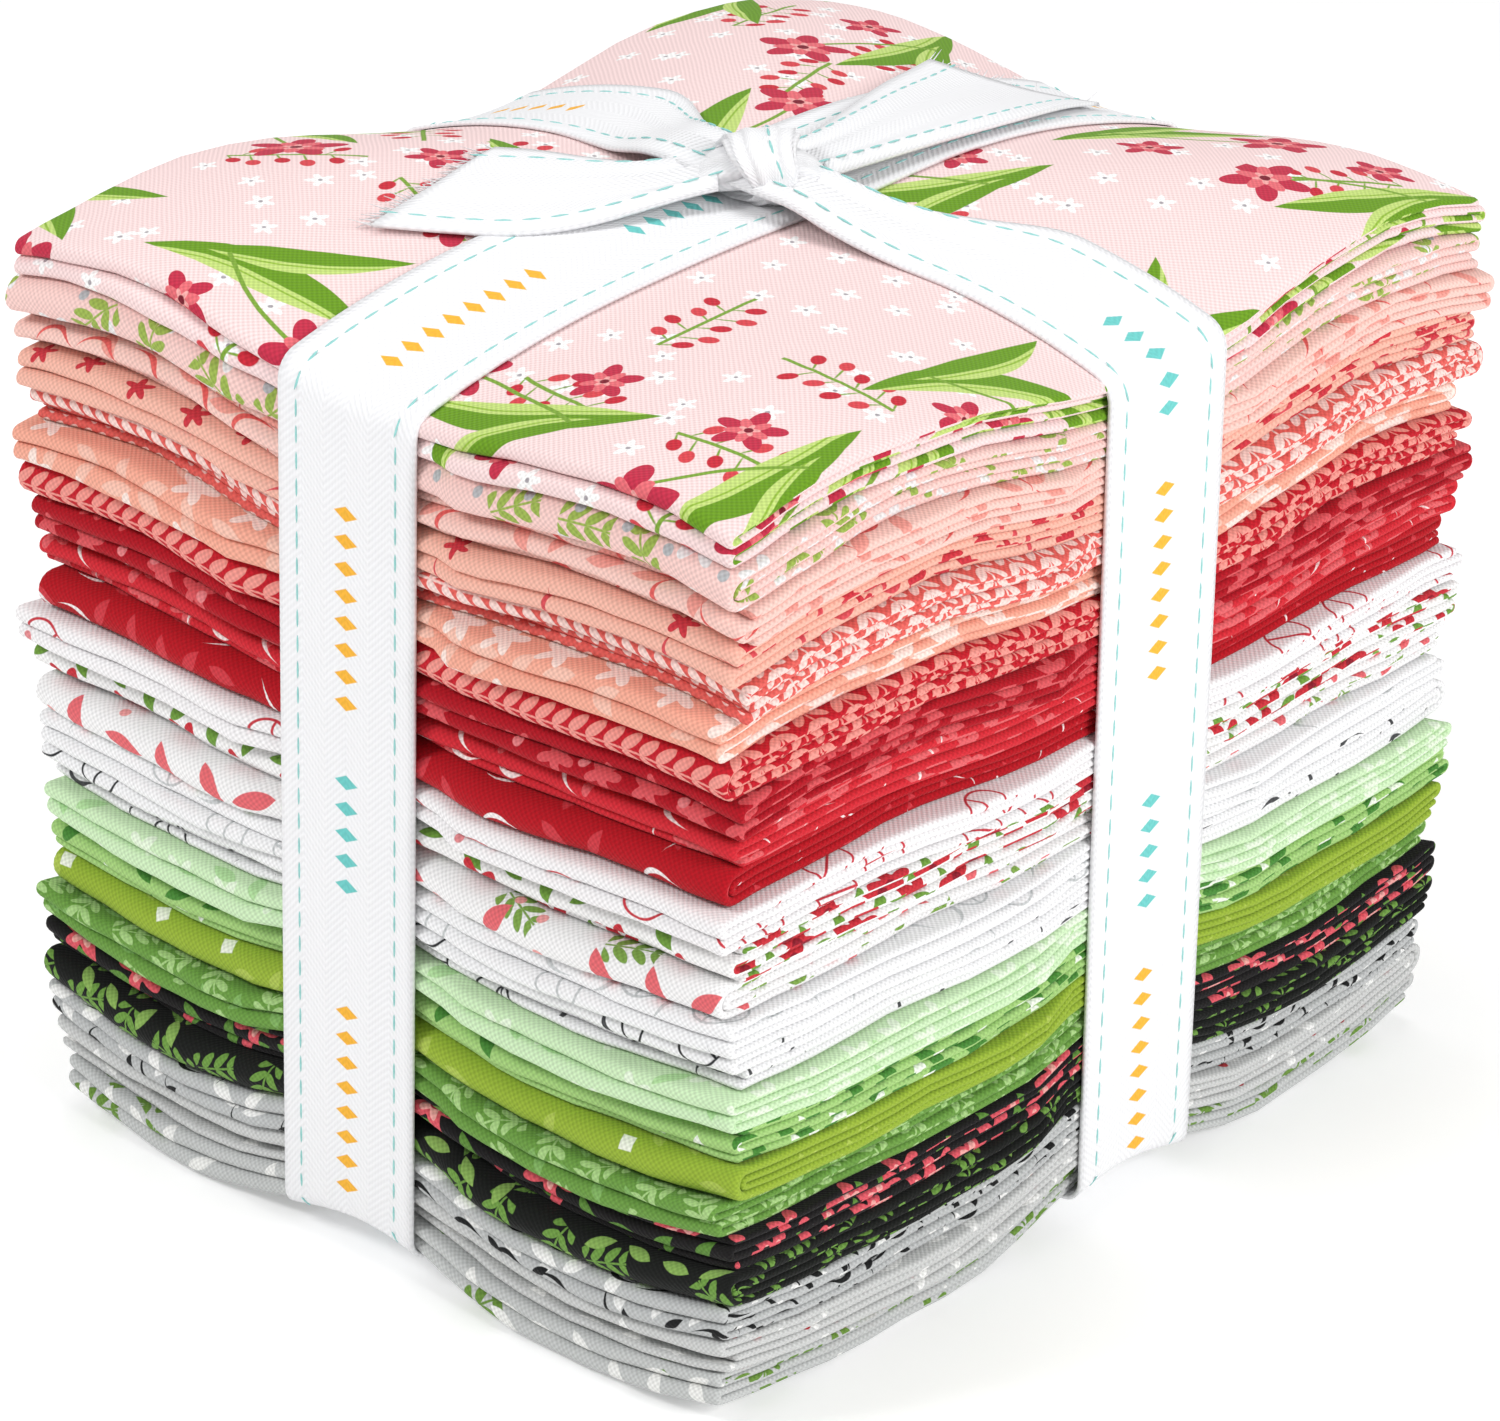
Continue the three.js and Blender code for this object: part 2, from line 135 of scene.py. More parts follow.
def stack_height(x, y, share):
    return mix(foot_height(x, y), top_height(x, y), share)


# Materials

def linear(hex_colour):
    """An sRGB colour written as RRGGBB, as the shader's linear values."""
    parts = [int(hex_colour[i:i + 2], 16) / 255 for i in (0, 2, 4)]
    return tuple(p / 12.92 if p <= 0.04045 else ((p + 0.055) / 1.055) ** 2.4 for p in parts) + (1.0,)


class Pen:
    """Writes nodes as short formulas. A socket or a plain value may feed any input."""

    def __init__(self, tree):
        self.tree = tree

    def node(self, kind, inputs=(), **settings):
        """Make a node with its settings, and feed its inputs, which are given by name or number."""
        made = self.tree.nodes.new(kind)
        for name, value in settings.items():
            setattr(made, name, value)
        for name, value in dict(inputs).items():
            self.feed(made.inputs[name], value)
        return made

    def feed(self, socket, value):
        if isinstance(value, bpy.types.NodeSocket):
            self.tree.links.new(value, socket)
        else:
            socket.default_value = value

    def math(self, operation, *values, clamp=False):
        made = self.node("ShaderNodeMath", enumerate(values), operation=operation, use_clamp=clamp)
        return made.outputs[0]

    def absolute(self, a):
        return self.math("ABSOLUTE", a)

    def add(self, a, b):
        return self.math("ADD", a, b)

    def sub(self, a, b):
        return self.math("SUBTRACT", a, b)

    def mul(self, a, b):
        return self.math("MULTIPLY", a, b)

    def vector(self, operation, a, b=None, scale=None):
        made = self.node("ShaderNodeVectorMath", operation=operation)
        self.feed(made.inputs[0], a if isinstance(a, bpy.types.NodeSocket) else a[:3])
        if b is not None:
            self.feed(made.inputs[1], b)
        if scale is not None:
            self.feed(made.inputs["Scale"], scale)
        return made.outputs[0]

    def split(self, vector):
        return tuple(self.node("ShaderNodeSeparateXYZ", {0: vector}).outputs)

    def mix(self, factor, a, b):
        """Mix two colours, whose sockets are numbers 6 and 7 of the node."""
        made = self.node("ShaderNodeMix", {0: factor, 6: a, 7: b}, data_type="RGBA", clamp_factor=True)
        return made.outputs[2]

    def noise(self, vector, scale):
        return self.node("ShaderNodeTexNoise", {"Vector": vector, "Scale": scale}).outputs["Fac"]

    def inside(self, depth, softness):
        """A mask from a signed depth in metres: 1 inside a shape, 0 outside, with a soft edge."""
        return self.math("MULTIPLY_ADD", depth, 1 / softness, 0.5, clamp=True)


# Print motifs: each takes the place within the motif, in metres, and returns how deep inside it lies.
# The proportions are shares of a motif's size.
LEAF_HALF = 0.2
PETALS = 5
PETAL_REACH = 0.36
PETAL_SWELL = 0.14
STROKE_BOW = 1.6
STROKE_DROP = 0.15
STROKE_HALF = 0.055
RING_LINE = 0.028
PAIR_OFF = 0.48
PAIR_LEAN = 0.8
PAIR_HALF_LONG = 0.36
PAIR_HALF_WIDE = 0.46
PAIR_STEM_HALF = 0.06
SPRIG_PAIRS = 3


def leaf_depth(pen, x, y, size):
    along = pen.math("POWER", pen.mul(x, 2 / size), 2.0)
    half = pen.math("MULTIPLY_ADD", along, -LEAF_HALF * size, LEAF_HALF * size)
    return pen.sub(half, pen.absolute(y))


def dot_depth(pen, x, y, size):
    reach = pen.math("SQRT", pen.add(pen.mul(x, x), pen.mul(y, y)))
    return pen.sub(size / 2, reach)


def oval_depth(pen, x, y, half_long, half_wide):
    along = pen.math("POWER", pen.mul(x, 1 / half_long), 2.0)
    across = pen.math("POWER", pen.mul(y, 1 / half_wide), 2.0)
    reach = pen.math("SQRT", pen.add(along, across))
    least = min(half_long, half_wide)
    return pen.math("MULTIPLY_ADD", reach, -least, least)


def blossom_depth(pen, x, y, size):
    reach = pen.math("SQRT", pen.add(pen.mul(x, x), pen.mul(y, y)))
    petals = pen.math("COSINE", pen.mul(pen.math("ARCTAN2", y, x), PETALS))
    edge = pen.math("MULTIPLY_ADD", petals, PETAL_SWELL * size, PETAL_REACH * size)
    return pen.sub(edge, reach)


def square_depth(pen, x, y, size):
    reach = pen.math("MAXIMUM", pen.absolute(x), pen.absolute(y))
    return pen.sub(size / 2, reach)


def stroke_depth(pen, x, y, size):
    """An open curved stroke, thickest in its middle."""
    bow = pen.math("MULTIPLY_ADD", pen.mul(x, x), STROKE_BOW / size, -STROKE_DROP * size)
    along = pen.math("POWER", pen.mul(x, 2 / size), 2.0)
    half = pen.math("MULTIPLY_ADD", along, -STROKE_HALF * size, STROKE_HALF * size)
    return pen.sub(half, pen.absolute(pen.sub(y, bow)))


def ring_depth(pen, x, y, size):
    """A thin drawn ring with a bar across it."""
    inside = dot_depth(pen, x, y, size)
    bar = pen.math("MAXIMUM", pen.absolute(y), pen.mul(inside, -1.0))
    line = pen.math("MINIMUM", pen.absolute(inside), bar)
    return pen.sub(RING_LINE * size, line)


def paired_leaves(pen, x, y, pitch):
    """Leaves in pairs along an endless stem."""
    tooth = pen.sub(pen.math("WRAP", x, pitch, 0.0), pitch / 2)
    side = pen.sub(pen.absolute(y), PAIR_OFF * pitch)
    lean = pen.math("MULTIPLY_ADD", side, -PAIR_LEAN, tooth)
    leaf = oval_depth(pen, lean, side, PAIR_HALF_LONG * pitch, PAIR_HALF_WIDE * pitch)
    stem = pen.sub(PAIR_STEM_HALF * pitch, pen.absolute(y))
    return pen.math("MAXIMUM", leaf, stem)


def sprig_depth(pen, x, y, size):
    length = pen.sub(size / 2, pen.absolute(x))
    return pen.math("MINIMUM", paired_leaves(pen, x, y, size / SPRIG_PAIRS), length)


MOTIFS = {
    "leaf": leaf_depth, "dot": dot_depth, "blossom": blossom_depth, "square": square_depth,
    "stroke": stroke_depth, "ring": ring_depth, "sprig": sprig_depth,
}
JITTER = 0.2
SEED_STEP = (3.37, 7.91)
VINE_SHIFT = 0.37


def scattered(pen, uv, cell, seed):
    """Jittered places on a grid of cells: the turned place within each cell and a random share."""
    shift = (seed * SEED_STEP[0], seed * SEED_STEP[1], 0)
    moved = pen.vector("ADD", pen.vector("SCALE", uv, scale=1 / cell), shift)
    corner = pen.vector("FLOOR", moved)
    draw = pen.node("ShaderNodeTexWhiteNoise", {"Vector": corner}, noise_dimensions="3D")
    centred = pen.vector("SUBTRACT", pen.vector("SUBTRACT", moved, corner), (0.5, 0.5, 0))
    drawn = pen.vector("SUBTRACT", draw.outputs["Color"], (0.5, 0.5, 0))
    jitter = pen.vector("SCALE", drawn, scale=JITTER)
    local = pen.vector("SCALE", pen.vector("SUBTRACT", centred, jitter), scale=cell)
    angle = pen.mul(draw.outputs["Value"], 2 * math.pi)
    turn = pen.node("ShaderNodeVectorRotate", {"Vector": local, "Angle": angle}, rotation_type="Z_AXIS")
    x, y, _ = pen.split(turn.outputs[0])
    chance = pen.split(draw.outputs["Color"])[2]
    return x, y, chance


def vine_rows(pen, uv, spacing):
    """Places along rows of endless vines across the width of the cloth, each row set on a little."""
    u, v, _ = pen.split(uv)
    row = pen.math("FLOOR", pen.mul(u, 1 / spacing))
    along = pen.math("MULTIPLY_ADD", row, VINE_SHIFT * spacing, v)
    across = pen.math("MULTIPLY_ADD", pen.add(row, 0.5), -spacing, u)
    return along, across


PRINT_EDGE = 0.12 * MM
THREAD_PAIR = 0.78 * MM
WEAVE_DEPTH = 0.08 * MM
BUMP_STRENGTH = 0.8
# Painted shade: how much the colour is darkened in the low parts of the weave, between the threads, on the
# cottons and on the tape.
WEAVE_SHADE_DEPTH = 0.28
TAPE_WEAVE_SHADE_DEPTH = 0.12
COTTON_GLOSS = 0.15
COTTON_ROUGHNESS = 0.88
TAPE_ROUGHNESS = 0.85
SHEEN = 0.05
SHEEN_ROUGHNESS = 0.5


def weave_height(pen, uv):
    """Over and under of a plain weave."""
    u, v, _ = pen.split(uv)
    warp = pen.math("SINE", pen.mul(u, 2 * math.pi / THREAD_PAIR))
    weft = pen.math("SINE", pen.mul(v, 2 * math.pi / THREAD_PAIR))
    return pen.math("MULTIPLY_ADD", pen.mul(warp, weft), 0.5, 0.5)


def finish_cloth(pen, colour, woven, roughness, weave_shade=WEAVE_SHADE_DEPTH):
    """Cotton finish: woven bump, a soft sheen and painted shade that darkens the colour between the threads.
    """
    # Painted shade: the colour is darkened where the weave is low, between the threads.
    shade = pen.math("MULTIPLY_ADD", woven, weave_shade, 1 - weave_shade)
    weave_shaded_colour = pen.vector("SCALE", colour, scale=shade)
    bump = pen.node("ShaderNodeBump", {
        "Strength": BUMP_STRENGTH, "Distance": WEAVE_DEPTH, "Height": woven})
    shader = pen.node("ShaderNodeBsdfPrincipled", {
        "Base Color": weave_shaded_colour, "Normal": bump.outputs[0], "Roughness": roughness,
        "Specular IOR Level": COTTON_GLOSS, "Sheen Weight": SHEEN, "Sheen Roughness": SHEEN_ROUGHNESS})
    pen.node("ShaderNodeOutputMaterial", {"Surface": shader.outputs[0]})


def new_material(name):
    material = bpy.data.materials.new(name)
    material.use_nodes = True
    material.node_tree.nodes.clear()
    return material, Pen(material.node_tree)


def print_on(pen, colour, depth, allowed, hex_colour):
    """Print a motif over a colour, from how deep inside it a point lies and whether it is allowed there."""
    mask = pen.mul(pen.inside(depth, PRINT_EDGE), allowed)
    return pen.mix(mask, colour, linear(hex_colour))


def printed_cotton(name, ground, layers, seed):
    """A cotton with a ground colour and its printed layers."""
    material, pen = new_material(name)
    uv = pen.node("ShaderNodeUVMap", uv_map="cloth").outputs[0]
    colour = linear(ground)
    for motif, hex_colour, cell, size, share, group in layers:
        if motif == "vine":
            x, y = vine_rows(pen, uv, cell * MM)
            depth = paired_leaves(pen, x, y, size * MM)
            allowed = share
        else:
            x, y, chance = scattered(pen, uv, cell * MM, seed + group)
            depth = MOTIFS[motif](pen, x, y, size * MM)
            allowed = pen.math("LESS_THAN", chance, share)
        colour = print_on(pen, colour, depth, allowed, hex_colour)
    finish_cloth(pen, colour, weave_height(pen, uv), COTTON_ROUGHNESS)
    return material


# The top cotton's flowers, leaves and berries, in millimetres and degrees. A leaf's light side and its vein
# start at shares of its width. "at" is a place to the right and ahead, and a turn.
LEAF_DARK = "6B9A20"
LEAF_LIGHT = "C3DB7C"
LEAF_VEIN = "93B93E"
STEM_GREEN = "7FA63C"
LIGHT_FROM = 0.1
VEIN_AT = 0.22
VEIN_HALF = 0.14
STEM_HALF = 0.3
BLOOM_RINGS = ((1.0, "C3304A", 0), (0.62, "E66E76", 36), (0.3, "F3A9A6", 0))
BLOOM_EYE = "7C1A2C"
BLOOM_EYE_SHARE = 0.12
SMALL_EYE = "A9A3A8"
BERRY_REDS = ("C92A3A", "D9464E")
BERRY_LONG = 2.6
BERRY_WIDE = 1.8
BERRY_PLACES = (
    (-7, 2.4), (-4.2, 3.8), (-1, 2.8), (2.2, 3.9), (5.4, 2.6),
    (-5.4, -2.6), (-2, -3.6), (1.4, -2.6), (4.6, -3.4),
)
TWIG_RUN = 1.4
TWIG_WIDE = 0.3
SPRAY = {"cell": 23, "share": 0.5, "seed": 3, "stem": 17}
FLOWER = {"cell": 39, "share": 0.92, "seed": 8, "stem": 22, "stem_at": (0, 5, 40), "stem_bend": -0.2}
FLOWER_LEAVES = (
    {"at": (-2, -1, 12), "length": 32, "width": 6.4, "bend": 0.3},
    {"at": (1, -5, -16), "length": 26, "width": 4.8, "bend": -0.25},
)
FLOWER_BLOOMS = (
    {"at": (8.5, 10.5, 170), "size": 12.5},
    {"at": (-9.5, 7, -190), "size": 9},
)


def placed(pen, x, y, right, ahead, turn):
    """A place seen from a motif that sits at right and ahead (millimetres) and is turned by degrees."""
    dx = pen.sub(x, right * MM)
    dy = pen.sub(y, ahead * MM)
    c, s = math.cos(math.radians(turn)), math.sin(math.radians(turn))
    return pen.add(pen.mul(dx, c), pen.mul(dy, s)), pen.sub(pen.mul(dy, c), pen.mul(dx, s))


def paint_blade(pen, colour, x, y, length, width, bend, allowed):
    """A long bent leaf, dark on one side of its vein and light on the other."""
    middle = pen.mul(pen.mul(x, x), bend / (length * MM))
    off = pen.sub(y, middle)
    along = pen.math("POWER", pen.mul(x, 2 / (length * MM)), 2.0)
    half = pen.math("MULTIPLY_ADD", along, -width * MM / 2, width * MM / 2)
    mask = pen.mul(pen.inside(pen.sub(half, pen.absolute(off)), PRINT_EDGE), allowed)
    light = pen.inside(pen.sub(off, LIGHT_FROM * width * MM), PRINT_EDGE)
    from_vein = pen.absolute(pen.sub(off, VEIN_AT * width * MM))
    vein = pen.inside(pen.sub(VEIN_HALF * MM, from_vein), PRINT_EDGE)
    blade = pen.mix(light, linear(LEAF_DARK), linear(LEAF_LIGHT))
    blade = pen.mix(vein, blade, linear(LEAF_VEIN))
    return pen.mix(mask, colour, blade)


def paint_stem(pen, colour, x, y, length, bend, allowed):
    middle = pen.mul(pen.mul(x, x), bend / (length * MM))
    off = pen.absolute(pen.sub(y, middle))
    to_end = pen.sub(length * MM / 2, pen.absolute(x))
    depth = pen.math("MINIMUM", pen.sub(STEM_HALF * MM, off), to_end)
    return print_on(pen, colour, depth, allowed, STEM_GREEN)


def paint_bloom(pen, colour, x, y, size, allowed):
    """An open flower of five petals, light within and with a dark eye."""
    for share, hex_colour, turn in BLOOM_RINGS:
        px, py = placed(pen, x, y, 0, 0, turn)
        petals = blossom_depth(pen, px, py, size * share * MM)
        colour = print_on(pen, colour, petals, allowed, hex_colour)
    eye = dot_depth(pen, x, y, BLOOM_EYE_SHARE * size * MM)
    return print_on(pen, colour, eye, allowed, BLOOM_EYE)


def paint_ovals(pen, colour, x, y, spots, allowed):
    """Small ovals given by their place, turn, length, width and colour."""
    for right, ahead, turn, length, width, hex_colour in spots:
        px, py = placed(pen, x, y, right, ahead, turn)
        oval = oval_depth(pen, px, py, length * MM / 2, width * MM / 2)
        colour = print_on(pen, colour, oval, allowed, hex_colour)
    return colour


def berry_spray():
    """Ovals of a spray: a twig from the stem to each berry, and the berry at its end."""
    spots = []
    for order, (right, ahead) in enumerate(BERRY_PLACES):
        lean = math.degrees(math.atan2(ahead, TWIG_RUN))
        long = math.hypot(ahead, TWIG_RUN)
        spots.append((right - TWIG_RUN / 2, ahead / 2, lean, long, TWIG_WIDE, STEM_GREEN))
        spots.append((right, ahead, lean, BERRY_LONG, BERRY_WIDE, BERRY_REDS[order % len(BERRY_REDS)]))
    return spots


def garden_cotton(name, ground, layers, seed):
    """The top cotton: sprays of open flowers with two-tone leaves, berries and small white flowers."""
    material, pen = new_material(name)
    uv = pen.node("ShaderNodeUVMap", uv_map="cloth").outputs[0]
    colour = linear(ground)
    for cell, size, hex_colour, share, eye in layers:
        x, y, chance = scattered(pen, uv, cell * MM, seed)
        allowed = pen.math("LESS_THAN", chance, share)
        colour = print_on(pen, colour, blossom_depth(pen, x, y, size * MM), allowed, hex_colour)
        colour = print_on(pen, colour, dot_depth(pen, x, y, eye * MM), allowed, SMALL_EYE)
        seed += 1
    x, y, chance = scattered(pen, uv, SPRAY["cell"] * MM, seed + SPRAY["seed"])
    allowed = pen.math("LESS_THAN", chance, SPRAY["share"])
    colour = paint_stem(pen, colour, x, y, SPRAY["stem"], 0, allowed)
    colour = paint_ovals(pen, colour, x, y, berry_spray(), allowed)
    x, y, chance = scattered(pen, uv, FLOWER["cell"] * MM, seed + FLOWER["seed"])
    allowed = pen.math("LESS_THAN", chance, FLOWER["share"])
    for leaf in FLOWER_LEAVES:
        px, py = placed(pen, x, y, *leaf["at"])
        colour = paint_blade(pen, colour, px, py, leaf["length"], leaf["width"], leaf["bend"], allowed)
    px, py = placed(pen, x, y, *FLOWER["stem_at"])
    colour = paint_stem(pen, colour, px, py, FLOWER["stem"], FLOWER["stem_bend"], allowed)
    for bloom in FLOWER_BLOOMS:
        px, py = placed(pen, x, y, *bloom["at"])
        colour = paint_bloom(pen, colour, px, py, bloom["size"], allowed)
    finish_cloth(pen, colour, weave_height(pen, uv), COTTON_ROUGHNESS)
    return material


# The cottons from the bottom of the stack to the top. Folds and edges are as in the solids. "to" is the side
# that the first run goes towards, and "proud" is how far the near, far, left and right sides stand out, in
# millimetres. Each print layer gives its motif, colour, spacing and size in millimetres, the share of places
# that it fills, and a number that layers share when they fill the same places. The top cotton lists its small
# flowers: spacing, size, colour, share and eye.
Cotton = namedtuple("Cotton", "fold to proud ground layers")
COTTONS = (
    Cotton("zigzag", "near", (0.4, 0.8, -1.4, -0.8), "C9CBCA", (
        ("sprig", "6E9440", 10, 8, 0.5, 1), ("leaf", "F2F2EF", 6, 4.8, 0.6, 2))),
    Cotton("book", "far", (-0.6, 0.4, 0.2, 0.6), "D0D1D0", (
        ("leaf", "F4F4F2", 7, 5.6, 0.7, 1), ("dot", "C23A40", 8, 1.6, 0.5, 2))),
    Cotton("zigzag", "near", (0.8, -0.6, 0.8, 0.2), "C1C3C3", (
        ("leaf", "F2F2F0", 6, 4.8, 0.6, 1), ("stroke", "1D1E1F", 8, 7, 0.8, 2),
        ("leaf", "1D1E1F", 7, 3, 0.6, 3))),
    Cotton("book", "near", (1.2, 0.6, 1.2, 1), "171917", (
        ("sprig", "6F9B45", 8, 6.6, 0.9, 1), ("leaf", "8DB35C", 5.5, 4.2, 0.5, 2))),
    Cotton("zigzag", "far", (0.2, 1.4, 1.8, 0.4), "1A1819", (
        ("leaf", "5F8C3C", 6, 4.8, 0.6, 1), ("blossom", "E05A66", 10, 8.2, 0.65, 2),
        ("blossom", "F3A9A4", 10, 4.4, 0.65, 2), ("dot", "A93244", 10, 1.4, 0.65, 2))),
    Cotton("zigzag", "near", (1.6, 0.2, 0.4, -0.4), "6C9B45", (
        ("leaf", "82B262", 5, 4, 0.6, 1), ("sprig", "A9CF86", 8, 6.6, 0.85, 2))),
    Cotton("book", "near", (0.6, -0.8, -0.6, 1.4), "98B43A", (
        ("leaf", "AEC555", 5, 4, 0.6, 1), ("square", "F1F4E6", 6, 1.9, 0.4, 2))),
    Cotton("zigzag", "far", (-0.4, 1.2, 0.6, 0.8), "A6CF7E", (
        ("leaf", "4C8A3A", 6.5, 5.2, 0.6, 1), ("leaf", "F0F6EA", 7.5, 6, 0.5, 2))),
    Cotton("zigzag", "near", (1, 0.4, 0.2, 1.8), "CFECC0", (
        ("blossom", "E6F6DC", 7.5, 6, 0.6, 1), ("leaf", "B2DD9F", 6, 4.8, 0.4, 2))),
    Cotton("book", "far", (-0.8, 1, 0.8, 0.2), "F4F4F5", (
        ("ring", "303133", 11, 6, 0.4, 1), ("stroke", "4A4B4D", 10, 7, 0.3, 2))),
    Cotton("zigzag", "near", (0.6, -0.4, 0.4, 1.2), "F5F5F6", (
        ("stroke", "CDD0D1", 8, 6.5, 0.5, 1), ("ring", "C6C9CA", 11, 6, 0.35, 2))),
    Cotton("book", "near", (1.4, 0.8, 1, -0.6), "F5F4F4", (
        ("sprig", "7FA54B", 9, 7.2, 0.65, 1), ("leaf", "E56B71", 8, 6.4, 0.5, 2),
        ("dot", "F3A5A3", 6, 1.5, 0.3, 3))),
    Cotton("zigzag", "far", (0.2, 0.2, 1.4, 0.6), "F5F4F3", (
        ("leaf", "6F9B3E", 6, 4.8, 0.7, 1), ("blossom", "C8303B", 10, 7.6, 0.6, 2),
        ("dot", "8E1C2C", 10, 1.8, 0.6, 2))),
    Cotton("zigzag", "near", (1.8, 1.6, 1.8, 1), "F6F4F5", (
        ("ring", "CB3A46", 12, 6.5, 0.4, 1), ("dot", "E58C90", 9, 1.3, 0.3, 2))),
    Cotton("book", "near", (1, -0.6, -0.8, -1), "B6101F", (
        ("leaf", "CF3B45", 5.5, 4.4, 0.6, 1), ("stroke", "F7EFEE", 8, 7, 0.55, 2))),
    Cotton("zigzag", "far", (-0.6, 0.6, 0.6, 0.2), "D32A36", (
        ("blossom", "E4656A", 7.5, 6, 0.6, 1), ("stroke", "FAEDEA", 8, 7, 0.5, 2))),
    Cotton("zigzag", "near", (0.4, 1.8, 0.4, 1.2), "AF0F20", (
        ("blossom", "D9565C", 6.5, 5.4, 0.65, 1), ("dot", "E9878A", 5, 1.5, 0.45, 2))),
    Cotton("book", "near", (1.2, 0.2, 1, 0.8), "C51C2B", (
        ("vine", "F09A90", 5.6, 2.6, 1, 1),)),
    Cotton("zigzag", "near", (1.8, -0.8, 1.2, -0.4), "F4AD97", (
        ("leaf", "F7C4B2", 6, 4.8, 0.6, 1), ("blossom", "FBE5DC", 8.5, 6.4, 0.6, 2))),
    Cotton("book", "far", (0.2, 0.8, 0.2, 1.6), "E6665F", (
        ("vine", "FBDDD6", 5.2, 2.4, 1, 1),)),
    Cotton("zigzag", "near", (1, 0.4, 0.8, 0.4), "F5BBA9", (
        ("stroke", "D9515A", 8.5, 7, 0.55, 1), ("blossom", "CE3945", 8.5, 4, 0.5, 2))),
    Cotton("zigzag", "far", (0.4, 1.2, 1.6, 1.8), "F8CDC3", (
        ("leaf", "F1A196", 6.5, 5, 0.45, 1), ("stroke", "E4625F", 8, 7.2, 0.75, 2))),
    Cotton("book", "near", (1.4, -0.2, 1.8, 0.8), "F6CFC9", (
        ("blossom", "ECEAEA", 9, 7, 0.6, 1), ("sprig", "9DB653", 9.5, 7.4, 0.5, 2),
        ("dot", "B7BABD", 7, 1.4, 0.3, 3))),
    Cotton("zigzag", "near", (1, 0.6, 0.6, 0.2), "F8DCDB", (
        (8, 3.8, "FDFBFA", 0.35, 0.6), (9.5, 3.4, "FDFBFA", 0.35, 0.5))),
)
PITCH = 1 / (len(COTTONS) - GAP_SHARE)

# Columns of an outline that are read by number.
STOP, PAST, SHARE, MID_SHARE = 0, 1, 2, 4

# In a double fold the third fold lies inside the first, so both follow one edge.
OUTER_FOLD = 1
INNER_FOLD = 3

# How uneven the cottons are. Strays, free edges that lie back, and waves (length and height) are in
# millimetres.
COTTON_SEED = 100
PRINT_SEED_STEP = 11
PRINT_SEED_FIRST = 3
RUN_UNEVEN = 0.16
RUN_STRAY = 0.5
EDGE_STRAY = 0.5
FREE_EDGE_BACK = (0.2, 1.6)
WAVE_SIZES = ((60, 0.35), (27, 0.22), (11, 0.10))

# Distances from the middle of the tape where it presses an edge fully and no more.
PRESSED_TO = 11.5 * MM
FREE_FROM = 19 * MM


# Folded cottons

def folded_outline(cotton, level, draw):
    """One cotton's section as the closed outline of its folded length.

    The outline's columns are the share of the way from the near to the far edge, the distance past that edge,
    the share of the stack's height, the same distance and share on the middle of the cloth, the near and far
    edge that the point follows, and its run's own stray. The lengths along the outline come with it, and the
    points that it closes to at the sides of the cloth.
    """
    order = FOLD_ORDER[cotton.fold]
    weights = 1 + draw.uniform(-RUN_UNEVEN, RUN_UNEVEN, RUNS)
    weights *= RUNS / weights.sum()
    lows = [level + SLIT_SHARE * run + RUN_SHARE * weights[:run].sum() for run in range(RUNS)]
    highs = [low + RUN_SHARE * weights[run] for run, low in enumerate(lows)]
    edge = np.array(EDGE_STOPS) * MM / FOLDED_Y
    middle_stops = np.linspace(edge[-1], 1 - edge[-1], RUN_STOPS)
    stops = np.unique(np.concatenate([edge, middle_stops, 1 - edge]))
    stray = draw.uniform(-1, 1, RUNS)
    sides = ([], [])
    for step, run in enumerate(order):
        inward = (cotton.to == "near") == (step % 2 == 0)
        near_edge, far_edge = (step + 1, step) if inward else (step, step + 1)
        middle = (lows[run] + highs[run]) / 2
        for side, points in enumerate(sides):
            share = lows[run] if inward == (side == 0) else highs[run]
            for stop in (stops[::-1] if inward else stops):
                own = stray[run] * math.sin(math.pi * stop)
                points.append((stop, 0, share, 0, middle, near_edge, far_edge, own))
            if step == RUNS - 1:
                continue
            following = order[step + 1]
            end = highs[following] if inward == (side == 0) else lows[following]
            next_middle = (lows[following] + highs[following]) / 2
            outward = -1 if inward else 1
            for bend in range(1, FOLD_POINTS + 1):
                angle = math.pi * bend / (FOLD_POINTS + 1)
                row = []
                for start, stop_share in ((share, end), (middle, next_middle)):
                    centre = (start + stop_share) / 2
                    radius = abs(stop_share - start) / 2 * PITCH * MEAN_HEIGHT
                    row += [outward * radius * math.sin(angle), centre + (start - centre) * math.cos(angle)]
                points.append((0 if inward else 1, *row, near_edge, far_edge, 0))
    left, right = (np.array(points) for points in sides)
    count = len(left)
    last_end = end_round(left[-1], right[-1])
    first_end = end_round(right[0], left[0])
    outline = np.concatenate([left, last_end, right[::-1], first_end])
    order_out = np.arange(count)
    at_last = np.full(TIP_POINTS, count - 1)
    at_first = np.zeros(TIP_POINTS, int)
    closes = np.concatenate([order_out, at_last, order_out[::-1], at_first])
    outline[:, (SHARE, MID_SHARE)] *= PITCH
    along = outline[:, STOP] * FOLDED_Y + outline[:, PAST]
    across = np.stack([along, outline[:, SHARE] * MEAN_HEIGHT], 1)
    lengths = np.linalg.norm(np.diff(across, axis=0, append=across[:1]), axis=1)
    return outline, np.concatenate([[0], np.cumsum(lengths)]), closes


def end_round(start, end):
    """The rounded free end of the cloth, from one of its sides to the other."""
    rows = []
    outward = 1 if start[STOP] > 0.5 else -1
    radius = abs(end[SHARE] - start[SHARE]) / 2 * PITCH * MEAN_HEIGHT
    for step in range(1, TIP_POINTS + 1):
        angle = math.pi * step / (TIP_POINTS + 1)
        row = start.copy()
        row[PAST] = outward * radius * math.sin(angle)
        row[SHARE] = mix(start[MID_SHARE], start[SHARE], math.cos(angle))
        rows.append(row)
    return np.array(rows)


